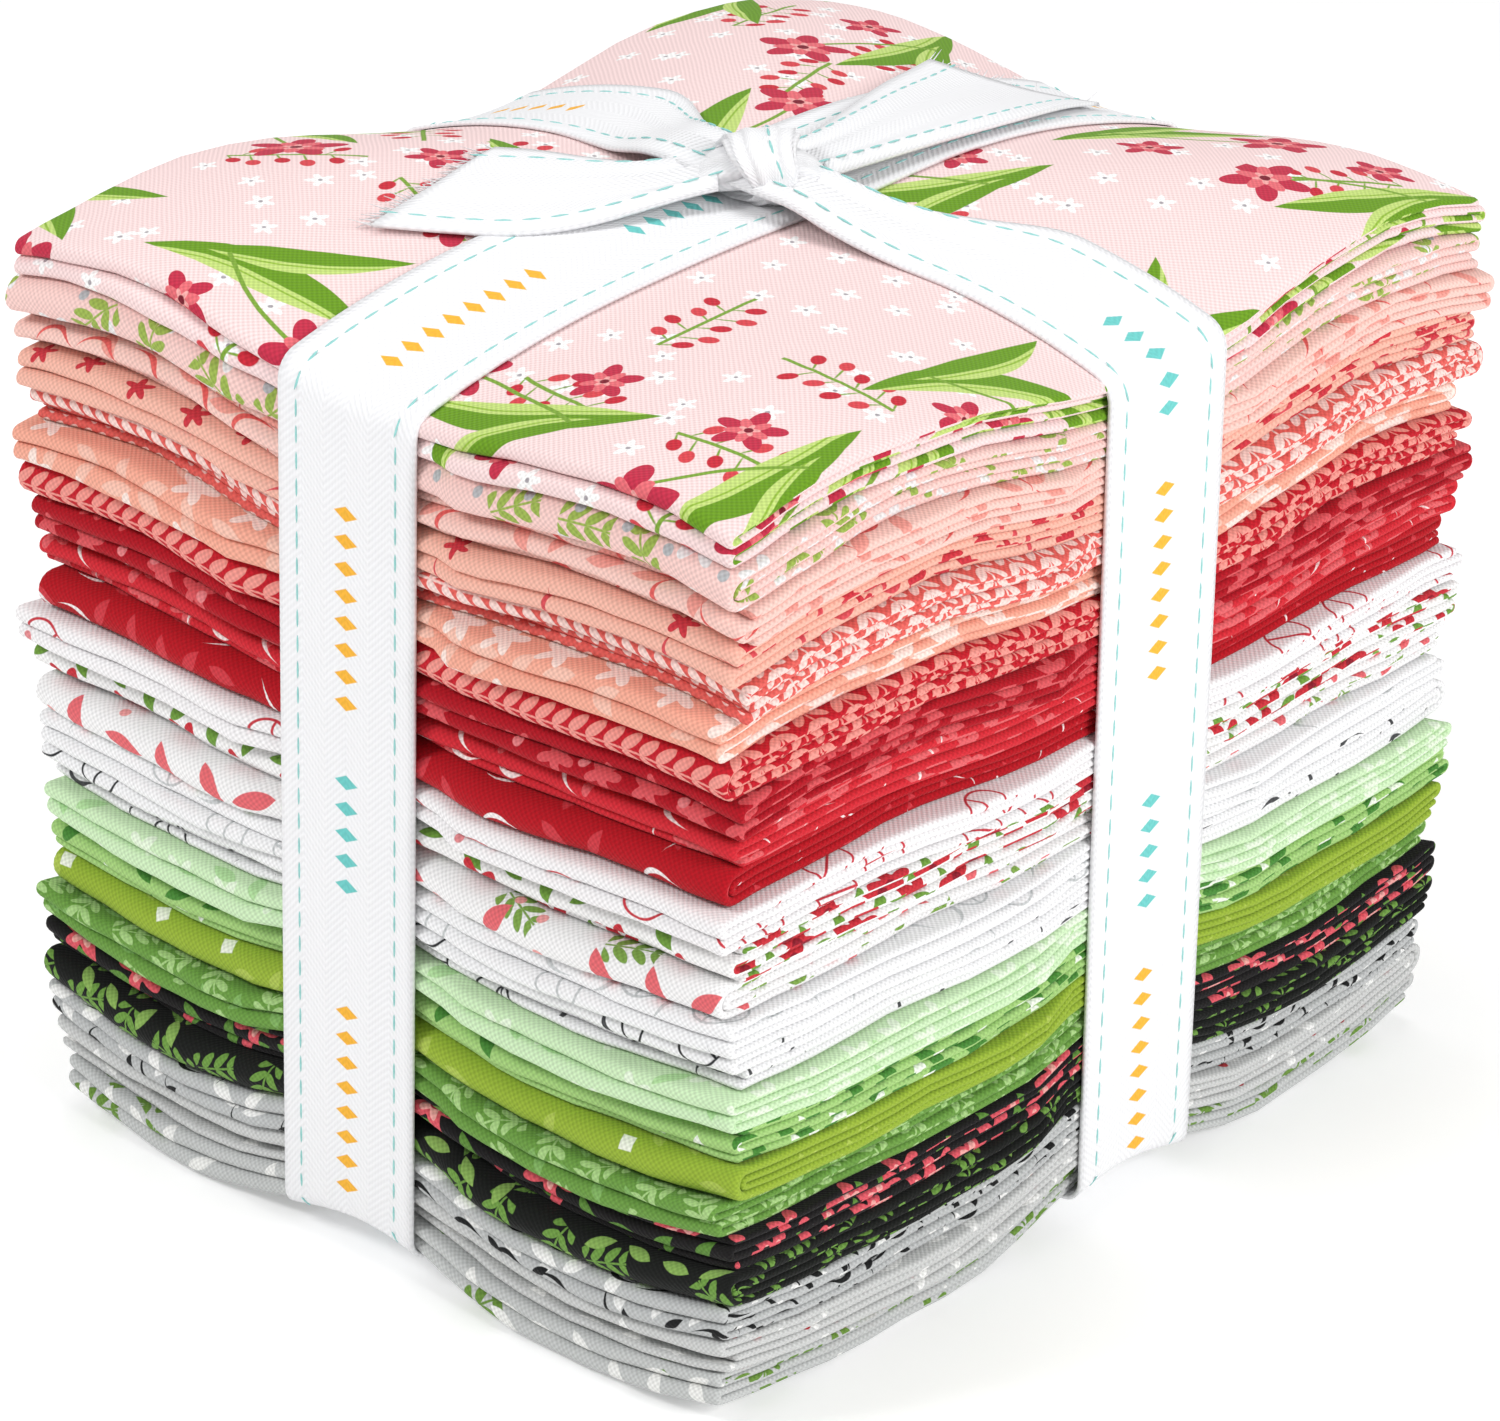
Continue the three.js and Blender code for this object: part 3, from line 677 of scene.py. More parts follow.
class Waves:
    """Slow uneven waves along an edge: a few sines with drawn phases."""

    def __init__(self, draw):
        self.parts = [(2 * math.pi / (length * MM), draw.uniform(0, 2 * math.pi), size * MM)
                      for length, size in WAVE_SIZES]

    def __call__(self, place):
        return sum(size * np.sin(rate * place + phase) for rate, phase, size in self.parts)


def under_tape(place, line):
    """1 where the tape presses an edge flush, fading to 0 beside it."""
    return 1 - smooth(PRESSED_TO, FREE_FROM, np.abs(place - line))


def pressed_flush(out, window):
    """How far an edge stands out once the tape holds back what would stand proud."""
    return out * (1 - window) + np.minimum(out, 0) * window


class FoldedCotton:
    """Places of one folded cotton, from its outline and the distance across its width."""

    def __init__(self, cotton, level):
        draw = np.random.default_rng(COTTON_SEED + level)
        self.outline, self.lengths, self.closes = folded_outline(cotton, level, draw)
        self.proud = np.array(cotton.proud) * MM
        ends = [self.outline[self.outline[:, STOP] == end] for end in (0, 1)]
        self.bulge = [np.abs(rows[:, PAST]).max() for rows in ends]
        edges = RUNS + 1
        self.edge_stray = draw.uniform(-EDGE_STRAY, EDGE_STRAY, edges) * MM
        if cotton.fold == "book":
            self.edge_stray[INNER_FOLD] = self.edge_stray[OUTER_FOLD]
        for free in (0, edges - 1):
            self.edge_stray[free] -= draw.uniform(*FREE_EDGE_BACK) * MM
        self.edge_waves = [Waves(draw) for _ in range(edges)]
        if cotton.fold == "book":
            self.edge_waves[INNER_FOLD] = self.edge_waves[OUTER_FOLD]
        self.side_waves = [Waves(draw), Waves(draw)]
        self.round = RUN_SHARE * PITCH * MEAN_HEIGHT / 2

    def edge_out(self, which, x, proud):
        out = np.zeros(np.broadcast(which, x).shape)
        for edge in range(RUNS + 1):
            shaped = proud + self.edge_stray[edge] + self.edge_waves[edge](x)
            out = np.where(which == edge, pressed_flush(shaped, under_tape(x, TAPE_X)), out)
        return out

    def place(self, flat, points):
        """Positions for flat distances across the width (rows) and outline points (columns)."""
        stop, past, share, mid_past, mid_share, near_edge, far_edge, own = points.T
        side = np.sign(flat)[:, None]
        body = HALF_X - self.round
        angle = np.clip((np.abs(flat)[:, None] - body) / self.round, 0, math.pi / 2)
        open_share = np.cos(angle)
        reach = np.minimum(np.abs(flat)[:, None], body)
        x_line = side * reach
        near = -HALF_Y + self.bulge[0] - self.edge_out(near_edge[None], x_line, self.proud[0])
        far = HALF_Y - self.bulge[1] + self.edge_out(far_edge[None], x_line, self.proud[1])
        y = near + stop * (far - near) + mid_past + open_share * (past - mid_past)
        height = mid_share + open_share * (share - mid_share)
        out_left = self.proud[2] + self.side_waves[0](y) + RUN_STRAY * MM * own
        out_right = self.proud[3] + self.side_waves[1](y) - RUN_STRAY * MM * own
        out = pressed_flush(np.where(side < 0, out_left, out_right), under_tape(y, TAPE_Y))
        x = side * (reach * (body + out) / body + self.round * np.sin(angle))
        return np.stack([x, y, stack_height(x, y, height)], -1)

    def flats(self):
        """Distances across the width where the cloth is drawn, dense at both rounded sides."""
        body = HALF_X - self.round
        inner = body - np.array(SIDE_STOPS) * MM
        rounded = [body + self.round * math.radians(angle) for angle in ROUND_ANGLES]
        half = np.concatenate([inner, rounded])
        middle = np.linspace(-inner[-1], inner[-1], WIDTH_STOPS)
        return np.unique(np.concatenate([-half, middle, half]))


def mesh_object(name, points, faces, uvs=None):
    """A smooth mesh object, with the places on its cloth for each corner of its faces."""
    mesh = bpy.data.meshes.new(name)
    mesh.from_pydata([tuple(p) for p in points], [], faces)
    if uvs is not None:
        layer = mesh.uv_layers.new(name="cloth")
        layer.data.foreach_set("uv", np.asarray(uvs, dtype=np.float32).ravel())
    mesh.shade_smooth()
    made = bpy.data.objects.new(name, mesh)
    bpy.context.scene.collection.objects.link(made)
    return made


def cotton_piece(name, cotton, level):
    """One folded cotton as a mesh whose sides close on the middle of the cloth, with its print."""
    folded = FoldedCotton(cotton, level)
    flats = folded.flats()
    grid = folded.place(flats, folded.outline)
    rows, count = grid.shape[:2]
    index = np.arange(rows * count).reshape(rows, count)
    for row in (0, rows - 1):
        index[row] = row * count + folded.closes
    faces = []
    uvs = []
    lengths = folded.lengths
    for i in range(rows - 1):
        for j in range(count):
            n = (j + 1) % count
            here, there = lengths[j], lengths[j + 1]
            ring = ((i, j, here), (i, n, there), (i + 1, n, there), (i + 1, j, here))
            face = []
            for a, b, u in ring:
                if index[a, b] not in face:
                    face.append(index[a, b])
                    uvs.append((u, flats[a]))
            if len(face) > 2:
                faces.append([int(v) for v in face])
            else:
                del uvs[len(uvs) - len(face):]
    used = np.unique(np.concatenate([np.array(f) for f in faces]))
    renumber = np.zeros(rows * count, int)
    renumber[used] = np.arange(len(used))
    faces = [[int(renumber[v]) for v in f] for f in faces]
    piece = mesh_object("folded_" + name, grid.reshape(-1, 3)[used], faces, uvs)
    paint = garden_cotton if level == len(COTTONS) - 1 else printed_cotton
    seed = level * PRINT_SEED_STEP + PRINT_SEED_FIRST
    piece.data.materials.append(paint("print_" + name, cotton.ground, cotton.layers, seed))
    return piece


# Tape

TAPE_THICK = 0.5 * MM
TAPE_GAP = 0.2 * MM
TAPE_LIFT = TAPE_GAP + TAPE_THICK / 2
TAPE_BEND = 2.4 * MM
STITCH_LINE = 0.73
ACROSS = np.array([-1, -0.87, -STITCH_LINE, -0.5, -0.25, 0, 0.25, 0.5, STITCH_LINE, 0.87, 1])
STITCH_COLUMNS = [int(np.argmin(np.abs(ACROSS - end * STITCH_LINE))) for end in (-1, 1)]
TOP_STOPS = 70
WALL_STOPS = 24
FOOT_STOPS = 30
BEND_STOPS = 6
TAIL_STOPS = 26
NEAR_DRIFT = -2 * MM
RIGHT_DRIFT = 2 * MM
STEEPEST_TOP = 0.8
SLOPE_STEP = 1 * MM

# Distances from the middle of the lower band where the upper one lies fully over it, and back on the cloth.
CROSSING_TO = 11 * MM
CROSSED_FROM = 19 * MM

# Lozenges along the tape, counted in steps of one pitch. The second band and the plain knot and tails start
# further along the cloth's length, and the second band is bare where the knot gathers it.
MARK_PITCH = 3.4 * MM
MARK_REPEAT = 19
YELLOW_MARKS = (0.5, 8.5)
TEAL_MARKS = (12.5, 17.5)
LOZENGE_HALF = 0.95 * MM
LOZENGE_SLIM = 0.5
SECOND_BAND_REPEATS = 31
SECOND_BAND = SECOND_BAND_REPEATS * MARK_REPEAT * MARK_PITCH
PLAIN_TAPE = 3.0
BARE_AT_KNOT = 40 * MM

# The tape's herringbone weave and its colours.
HERRINGBONE = 3.6 * MM
RIB_PITCH = 0.95 * MM
THREAD_PITCH = 0.5 * MM
THREAD_SHARE = 0.4
RIB_SWING = 0.35
TAPE_WHITE = "EEEEF0"
TAPE_TEAL = "6CC6C2"
TAPE_YELLOW = "F2B33A"

# The knot, the bands gathered into it and its two free ends.
KNOT_X = 2 * MM
KNOT_Y = -4 * MM
KNOT_LIFT = 4.5 * MM
KNOT_TURN = 0.7
KNOT_NECK = 5.5 * MM
NECK_FROM = 8 * MM
NECK_TO = 34 * MM
NECK_RISE = 3.2 * MM
PLEAT_DEPTH = 0.8 * MM
PLEATS = 3
TAIL_WIDE_FROM = 0.75
RIPPLE = 0.35 * MM
RIPPLE_ALONG = 5
RIPPLE_ACROSS = 2

# Free ends: places on the top and half widths, the slant of the cut, the bow sideways, and the height at the
# cut and above it in the knot, all in millimetres.
TAILS = (
    {"root": (-2, -8), "tip": (-24.5, -33), "root_half": 5, "tip_half": 11, "cut": 8, "bow": 2, "rest": 0.9,
     "lift": 3.2},
    {"root": (3.5, 1), "tip": (-7, 56), "root_half": 5, "tip_half": 10.5, "cut": -4, "bow": -2, "rest": 1.5,
     "lift": 2.9},
)


def band_path(along_y):
    """Middle of one band as positions with a row for each station and a column for each place across."""
    half, line, drift = (HALF_Y, TAPE_X, NEAR_DRIFT) if along_y else (HALF_X, TAPE_Y, RIGHT_DRIFT)
    drift_end = -1 if along_y else 1
    wall = half + TAPE_LIFT
    flat = wall - TAPE_BEND

    def surface(along, across, share):
        x, y = (across, along) if along_y else (along, across)
        return stack_height(x, y, share) + (TAPE_LIFT if share == 1 else -TAPE_LIFT)

    def middle(along, share):
        return line + (drift * (1 + drift_end * along / half) / 2 if share == 0 else 0)

    def flat_run(share, count):
        along = np.linspace(-flat, flat, count)[:, None]
        across = middle(along, share) + TAPE_WIDTH / 2 * ACROSS + 0 * along
        rise = 0 * across
        if not along_y:
            crossing = 1 - smooth(CROSSING_TO, CROSSED_FROM, np.abs(along - TAPE_X))
            rise = (TAPE_THICK + TAPE_GAP) * crossing * (1 if share == 1 else -1) + rise
            if share == 1:
                gathered = 1 - smooth(NECK_FROM, NECK_TO, np.abs(along - KNOT_X))
                across = mix(across, KNOT_Y + KNOT_NECK * ACROSS, gathered)
                rise = rise + NECK_RISE * gathered ** 2
                rise = rise + PLEAT_DEPTH * gathered * np.cos(PLEATS * math.pi * ACROSS)
        return np.stack([along + 0 * across, across, surface(along, across, share) + rise], -1)

    def bend(end, share):
        up = 1 if share == 1 else -1
        across = middle(end * flat, share) + TAPE_WIDTH / 2 * ACROSS
        outer = surface(end * flat, across, share)
        inner = surface(end * (flat - SLOPE_STEP), across, share)
        tilt = np.mean(up * (inner - outer)) / SLOPE_STEP
        start = math.atan(float(np.clip(tilt, 0, STEEPEST_TOP)))
        turn = np.linspace(start, math.pi / 2, BEND_STOPS + 1)[1:, None]
        radius = TAPE_BEND / (1 - math.sin(start))
        along = end * (wall - radius + radius * np.sin(turn)) + 0 * across
        z = outer - up * radius * (math.cos(start) - np.cos(turn))
        return np.stack([along, across + 0 * turn, z], -1)

    def wall_run(top, foot):
        share = np.linspace(0, 1, WALL_STOPS)[1:-1, None, None]
        return mix(top[-1][None], foot[-1][None], share)

    top = flat_run(1, TOP_STOPS)
    foot = flat_run(0, FOOT_STOPS)
    ends = {(e, s): bend(e, s) for e in (-1, 1) for s in (0, 1)}
    path = np.concatenate([
        top, ends[1, 1], wall_run(ends[1, 1], ends[1, 0]), ends[1, 0][::-1],
        foot[::-1], ends[-1, 0], wall_run(ends[-1, 0], ends[-1, 1]), ends[-1, 1][::-1]])
    if along_y:
        path = path[..., (1, 0, 2)]
    return path


def tail_path(tail):
    """Middle of one free end, from its pleats in the knot to its slanted cut."""
    root, tip = (np.array(tail[key]) * MM for key in ("root", "tip"))
    ahead = (tip - root) / np.linalg.norm(tip - root)
    side = np.array([-ahead[1], ahead[0]])
    share = np.linspace(0, 1, TAIL_STOPS)[:, None]
    half = mix(tail["root_half"], tail["tip_half"], smooth(0, TAIL_WIDE_FROM, share)) * MM
    sideways = half * ACROSS + tail["bow"] * MM * np.sin(math.pi * share)
    forward = np.linalg.norm(tip - root) * share + tail["cut"] * MM * ACROSS * share ** 3
    flat = root + forward[..., None] * ahead + sideways[..., None] * side
    loose = (1 - share) ** 2
    pleats = PLEAT_DEPTH * loose * np.cos(PLEATS * math.pi * ACROSS)
    ripple = RIPPLE * share * np.sin(RIPPLE_ALONG * share + RIPPLE_ACROSS * ACROSS)
    rise = (tail["rest"] + tail["lift"] * loose) * MM + pleats + ripple
    z = top_height(flat[..., 0], flat[..., 1]) + rise
    return np.concatenate([flat, z[..., None]], -1)


def sheet_normals(path, closed):
    """Outward normals of a strip from its own directions along and across."""
    along = np.roll(path, -1, 0) - np.roll(path, 1, 0)
    if not closed:
        along[0] = path[1] - path[0]
        along[-1] = path[-1] - path[-2]
    normals = np.cross(np.gradient(path, axis=1), along)
    normals /= np.linalg.norm(normals, axis=-1, keepdims=True)
    core = np.array([0, 0, MEAN_HEIGHT / 2])
    return normals if ((path - core) * normals).sum() > 0 else -normals


def path_lengths(path):
    centre = path[:, path.shape[1] // 2]
    step = np.linalg.norm(np.diff(centre, axis=0, append=centre[:1]), axis=1)
    return np.concatenate([[0], np.cumsum(step)])


class Mesh:
    """Points, faces and cloth places gathered from several closed shells."""

    def __init__(self):
        self.points, self.faces, self.uvs = [], [], []

    def add_rings(self, rings, lengths, widths, closed, caps):
        """A tube of rings; its ends are closed by the faces of caps, which number the points of one ring."""
        shift = len(self.points)
        count, total = rings.shape[:2]
        self.points += [tuple(p) for p in rings.reshape(-1, 3)]
        for i in range(count if closed else count - 1):
            k = (i + 1) % count
            for j in range(total):
                n = (j + 1) % total
                self.faces.append([shift + i * total + j, shift + i * total + n,
                                   shift + k * total + n, shift + k * total + j])
                self.uvs += [(lengths[i], widths[j]), (lengths[i], widths[n]),
                             (lengths[i + 1], widths[n]), (lengths[i + 1], widths[j])]
        for row, order in () if closed else ((0, -1), (count - 1, 1)):
            for cap in caps:
                self.faces.append([shift + row * total + v for v in cap[::order]])
                self.uvs += [(lengths[row], widths[v]) for v in cap]


def facing_out(mesh):
    """Turn every shell of a mesh object to face outward."""
    edit = bmesh.new()
    edit.from_mesh(mesh)
    bmesh.ops.recalc_face_normals(edit, faces=edit.faces)
    edit.to_mesh(mesh)
    edit.free()


def add_strip(mesh, path, closed, start=0.0):
    """A thin strip about its middle surface. Returns the lines that its two rows of stitches follow."""
    count = path.shape[1]
    normals = sheet_normals(path, closed)
    offset = normals * TAPE_THICK / 2
    rings = np.concatenate([path + offset, (path - offset)[:, ::-1]], 1)
    widths = np.concatenate([ACROSS, ACROSS[::-1]]) * TAPE_WIDTH / 2
    caps = [(j, j + 1, 2 * count - 2 - j, 2 * count - 1 - j) for j in range(count - 1)]
    mesh.add_rings(rings, start + path_lengths(path), widths, closed, caps)
    return [((path + offset)[:, c], normals[:, c], closed) for c in STITCH_COLUMNS]


KNOT_RING = 36
RING_STOPS = 30
CORE_STOPS = 16

# The knot's core: half its length and section, how it tapers, sags and twists, and the cloth along it.
CORE_HALF_LONG = 8.5 * MM
CORE_HALF_WIDE = 4.6 * MM
CORE_HALF_THICK = 2.6 * MM
CORE_TAPER_LEAST = 0.04
CORE_PLEATS = 7
CORE_PLEAT_DEPTH = 0.10
CORE_TWIST = 2
CORE_SAG = 1.6 * MM
CORE_CLOTH = 17 * MM

# The strand wrapped round the core: its loop, its section and the seam of stitches on it.
WRAP_LEAN = 0.35
WRAP_HALF_WIDE = 5.2 * MM
WRAP_HALF_HIGH = 3.4 * MM
WRAP_WANDER = 0.9 * MM
WRAP_CLOTH = 30 * MM
STRAND_HALF_WIDE = 3.9 * MM
STRAND_HALF_THICK = 1.15 * MM
STRAND_PLEATS = 9
STRAND_PLEAT_DEPTH = 0.13
STRAND_TWIST = 1.5
STRAND_SQUEEZE = 0.22
SQUEEZED_AT = 0.6
SEAM_ASIDE = 0.8 * MM
SEAM_OUT = 1.2 * MM


def pleated_ring(half_wide, half_thick, pleats, depth, twist=0.0):
    """Section of a gathered strand: a flat oval with pleats, as distances wide and thick."""
    angle = np.linspace(0, 2 * math.pi, KNOT_RING, endpoint=False)
    swell = 1 + depth * np.cos(pleats * angle + twist)
    return half_wide * np.cos(angle) * swell, half_thick * np.sin(angle) * swell


def add_knot(mesh):
    """A gathered core with a pleated strand wrapped once round it."""
    axis = np.array([math.cos(KNOT_TURN), math.sin(KNOT_TURN), 0])
    side = np.array([-axis[1], axis[0], 0])
    up = np.array([0, 0, 1])
    base = np.array([KNOT_X, KNOT_Y, float(top_height(KNOT_X, KNOT_Y)) + KNOT_LIFT])
    widths = TAPE_WIDTH / 2 * np.cos(np.linspace(0, 2 * math.pi, KNOT_RING, endpoint=False))
    cap = [tuple(range(KNOT_RING))]
    core = []
    for share in np.linspace(-1, 1, CORE_STOPS):
        taper = math.sqrt(max(CORE_TAPER_LEAST, 1 - abs(share) ** 3))
        wide, thick = pleated_ring(CORE_HALF_WIDE * taper, CORE_HALF_THICK * taper,
                                   CORE_PLEATS, CORE_PLEAT_DEPTH, CORE_TWIST * share)
        centre = base + axis * CORE_HALF_LONG * share - up * CORE_SAG * share * share
        core.append(centre + wide[:, None] * side + thick[:, None] * up)
    lengths = PLAIN_TAPE + np.linspace(0, CORE_CLOTH, CORE_STOPS + 1)
    mesh.add_rings(np.array(core), lengths, widths, False, cap)
    wrap_axis = axis * math.cos(WRAP_LEAN) + side * math.sin(WRAP_LEAN)
    wrap_side = np.array([-wrap_axis[1], wrap_axis[0], 0])
    wrap, seam, facing = [], [], []
    for turn in np.linspace(0, 2 * math.pi, RING_STOPS, endpoint=False):
        out = wrap_side * math.cos(turn) * WRAP_HALF_WIDE + up * math.sin(turn) * WRAP_HALF_HIGH
        outward = wrap_side * math.cos(turn) / WRAP_HALF_WIDE + up * math.sin(turn) / WRAP_HALF_HIGH
        outward /= np.linalg.norm(outward)
        squeeze = 1 + STRAND_SQUEEZE * math.cos(turn - SQUEEZED_AT)
        wide, thick = pleated_ring(STRAND_HALF_WIDE * squeeze, STRAND_HALF_THICK,
                                   STRAND_PLEATS, STRAND_PLEAT_DEPTH, STRAND_TWIST * math.sin(turn))
        centre = base + out + wrap_axis * WRAP_WANDER * math.sin(2 * turn)
        wrap.append(centre + wide[:, None] * wrap_axis + thick[:, None] * outward)
        seam.append(centre + wrap_axis * SEAM_ASIDE + outward * SEAM_OUT)
        facing.append(outward)
    lengths = PLAIN_TAPE + np.linspace(0, WRAP_CLOTH, RING_STOPS + 1)
    mesh.add_rings(np.array(wrap), lengths, widths, True, cap)
    return [(np.array(seam), np.array(facing), True)]


def tape_material():
    """White herringbone tape with groups of small lozenges along its middle."""
    material, pen = new_material("white_twill_tape")
    uv = pen.node("ShaderNodeUVMap", uv_map="cloth").outputs[0]
    u, v, _ = pen.split(uv)
    zigzag = pen.math("PINGPONG", v, HERRINGBONE)
    rib = pen.math("SINE", pen.mul(pen.add(u, zigzag), 2 * math.pi / RIB_PITCH))
    thread = pen.math("SINE", pen.mul(v, 2 * math.pi / THREAD_PITCH))
    woven = pen.math("MULTIPLY_ADD", pen.add(rib, pen.mul(thread, THREAD_SHARE)), RIB_SWING, 0.5)
    row = pen.sub(pen.math("WRAP", u, MARK_PITCH, 0.0), MARK_PITCH / 2)
    aside = pen.mul(pen.absolute(v), LOZENGE_SLIM)
    lozenge = pen.sub(LOZENGE_HALF, pen.add(pen.absolute(row), aside))
    count = pen.math("WRAP", pen.math("FLOOR", pen.mul(u, 1 / MARK_PITCH)), MARK_REPEAT, 0.0)
    knot_at = SECOND_BAND + HALF_X + KNOT_X
    open_tape = pen.math("GREATER_THAN", pen.absolute(pen.sub(u, knot_at)), BARE_AT_KNOT)
    printed = pen.mul(open_tape, pen.math("LESS_THAN", u, PLAIN_TAPE))
    mark = pen.mul(pen.inside(lozenge, PRINT_EDGE), printed)
    colour = linear(TAPE_WHITE)
    for (after, before), hex_colour in ((TEAL_MARKS, TAPE_TEAL), (YELLOW_MARKS, TAPE_YELLOW)):
        group = pen.mul(pen.math("GREATER_THAN", count, after), pen.math("LESS_THAN", count, before))
        colour = pen.mix(pen.mul(mark, group), colour, linear(hex_colour))
    # Painted shade darkens the tape's colour between its threads, where the weave is low.
    finish_cloth(pen, colour, woven, TAPE_ROUGHNESS, TAPE_WEAVE_SHADE_DEPTH)
    return material


FIBRE_SCALE = 2500.0
STITCH_THREAD = {"dark": "86CFCB", "light": "ACE0DC", "mottle": 900.0, "roughness": 0.6}
LOOSE_THREAD = {"dark": "E6E6E8", "light": "F6F6F7", "mottle": 700.0, "roughness": 0.8}


def thread_material(name, thread):
    """A mottled thread with fine fibres."""
    material, pen = new_material(name)
    place = pen.node("ShaderNodeTexCoord").outputs["Object"]
    mottle = pen.noise(place, thread["mottle"])
    colour = pen.mix(mottle, linear(thread["dark"]), linear(thread["light"]))
    # The fibre noise bumps the thread and also darkens its colour where it is low, as painted shade.
    finish_cloth(pen, colour, pen.noise(place, FIBRE_SCALE), thread["roughness"])
    return material


def line_tree(name, sizes):
    """Start a node tree on lines: its pen, its named sizes, the lines cut into steps, and the way out."""
    tree = bpy.data.node_groups.new(name, "GeometryNodeTree")
    tree.interface.new_socket("Geometry", in_out="INPUT", socket_type="NodeSocketGeometry")
    for size in sizes:
        tree.interface.new_socket(size, in_out="INPUT", socket_type="NodeSocketFloat")
    tree.interface.new_socket("Geometry", in_out="OUTPUT", socket_type="NodeSocketGeometry")
    pen = Pen(tree)
    given = pen.node("NodeGroupInput").outputs
    curve = pen.node("GeometryNodeMeshToCurve", {"Mesh": given["Geometry"]})
    steps = pen.node("GeometryNodeResampleCurve", {
        "Curve": curve.outputs[0], "Length": given["Pitch"]}, mode="LENGTH")
    outward = pen.node("GeometryNodeInputNamedAttribute", {"Name": "outward"}, data_type="FLOAT_VECTOR")
    return pen, given, steps.outputs[0], outward.outputs[0]


def set_along(pen, points, shape, rotation, scale, material):
    """Set a shape on every step of the lines and end the tree."""
    placed_shapes = pen.node("GeometryNodeInstanceOnPoints", {
        "Points": points, "Instance": shape, "Rotation": rotation, "Scale": scale})
    real = pen.node("GeometryNodeRealizeInstances", {0: placed_shapes.outputs[0]})
    painted = pen.node("GeometryNodeSetMaterial", {"Geometry": real.outputs[0], "Material": material})
    pen.node("NodeGroupOutput", {0: painted.outputs[0]})
    return pen.tree


FRAY_SIZES = {"Pitch": 0.45 * MM, "Thickness": 0.11 * MM, "Shortest": 0.8 * MM, "Longest": 3.4 * MM}
FRAY_SEED = 7
FRAY_LEAN = 0.5
FRAY_SIDES = 5
FRAY_TIP = 0.3
STITCH_SIZES = {"Pitch": 3.3 * MM, "Length": 2.4 * MM, "Width": 0.34 * MM, "Height": 0.24 * MM}
STITCH_SEGMENTS = 8
STITCH_RINGS = 5


def stitch_tree(material):
    """Stitches: one flattened dash at every step, lying along the line."""
    pen, given, points, outward = line_tree("tape_stitches", STITCH_SIZES)
    tangent = pen.node("GeometryNodeInputTangent").outputs[0]
    along = pen.node("FunctionNodeAlignRotationToVector", {"Vector": tangent}, axis="X")
    upright = pen.node("FunctionNodeAlignRotationToVector", {
        "Rotation": along.outputs[0], "Vector": outward}, axis="Z", pivot_axis="X")
    dash = pen.node("GeometryNodeMeshUVSphere", {
        "Segments": STITCH_SEGMENTS, "Rings": STITCH_RINGS, "Radius": 0.5})
    size = pen.node("ShaderNodeCombineXYZ", {0: given["Length"], 1: given["Width"], 2: given["Height"]})
    return set_along(pen, points, dash.outputs["Mesh"], upright.outputs[0], size.outputs[0], material)


def fray_tree(material):
    """Frayed ends: a short loose thread at every step, each with its own length and lean."""
    pen, given, points, outward = line_tree("frayed_threads", FRAY_SIZES)
    facing = pen.node("FunctionNodeAlignRotationToVector", {"Vector": outward}, axis="Z")
    lean = pen.node("FunctionNodeRandomValue", {
        "Min": (-FRAY_LEAN, -FRAY_LEAN, 0), "Max": (FRAY_LEAN, FRAY_LEAN, 0), "Seed": FRAY_SEED,
    }, data_type="FLOAT_VECTOR")
    bent = pen.node("FunctionNodeEulerToRotation", {0: lean.outputs["Value"]})
    turned = pen.node("FunctionNodeRotateRotation", {
        0: facing.outputs[0], 1: bent.outputs[0]}, rotation_space="LOCAL")
    long = pen.node("FunctionNodeRandomValue", {
        2: given["Shortest"], 3: given["Longest"], "Seed": FRAY_SEED + 1}, data_type="FLOAT")
    thread = pen.node("GeometryNodeMeshCone", {
        "Vertices": FRAY_SIDES, "Radius Top": FRAY_TIP, "Radius Bottom": 1.0, "Depth": 1.0})
    thick = given["Thickness"]
    size = pen.node("ShaderNodeCombineXYZ", {0: thick, 1: thick, 2: long.outputs[1]})
    return set_along(pen, points, thread.outputs["Mesh"], turned.outputs[0], size.outputs[0], material)


def piece_along(name, lines, tree, sizes):
    """One mesh made by a node tree, from lines and the way that the tape faces along them."""
    points, edges, outward = [], [], []
    for places, normals, closed in lines:
        first = len(points)
        count = len(places)
        points += [tuple(p) for p in places]
        outward += [tuple(n) for n in normals]
        edges += [(first + i, first + (i + 1) % count) for i in range(count if closed else count - 1)]
    mesh = bpy.data.meshes.new(name + "_lines")
    mesh.from_pydata(points, edges, [])
    facing = mesh.attributes.new("outward", "FLOAT_VECTOR", "POINT")
    facing.data.foreach_set("vector", np.array(outward, dtype=np.float32).ravel())
    guide = bpy.data.objects.new(name + "_lines", mesh)
    bpy.context.scene.collection.objects.link(guide)
    modifier = guide.modifiers.new(name, "NODES")
    modifier.node_group = tree
    for item in tree.interface.items_tree:
        if item.in_out == "INPUT" and item.name in sizes:
            modifier[item.identifier] = sizes[item.name]
    graph = bpy.context.evaluated_depsgraph_get()
    made = bpy.data.meshes.new_from_object(guide.evaluated_get(graph), depsgraph=graph)
    made.name = name
    made.shade_smooth()
    piece = bpy.data.objects.new(name, made)
    bpy.context.scene.collection.objects.link(piece)
    bpy.data.objects.remove(guide)
    return piece


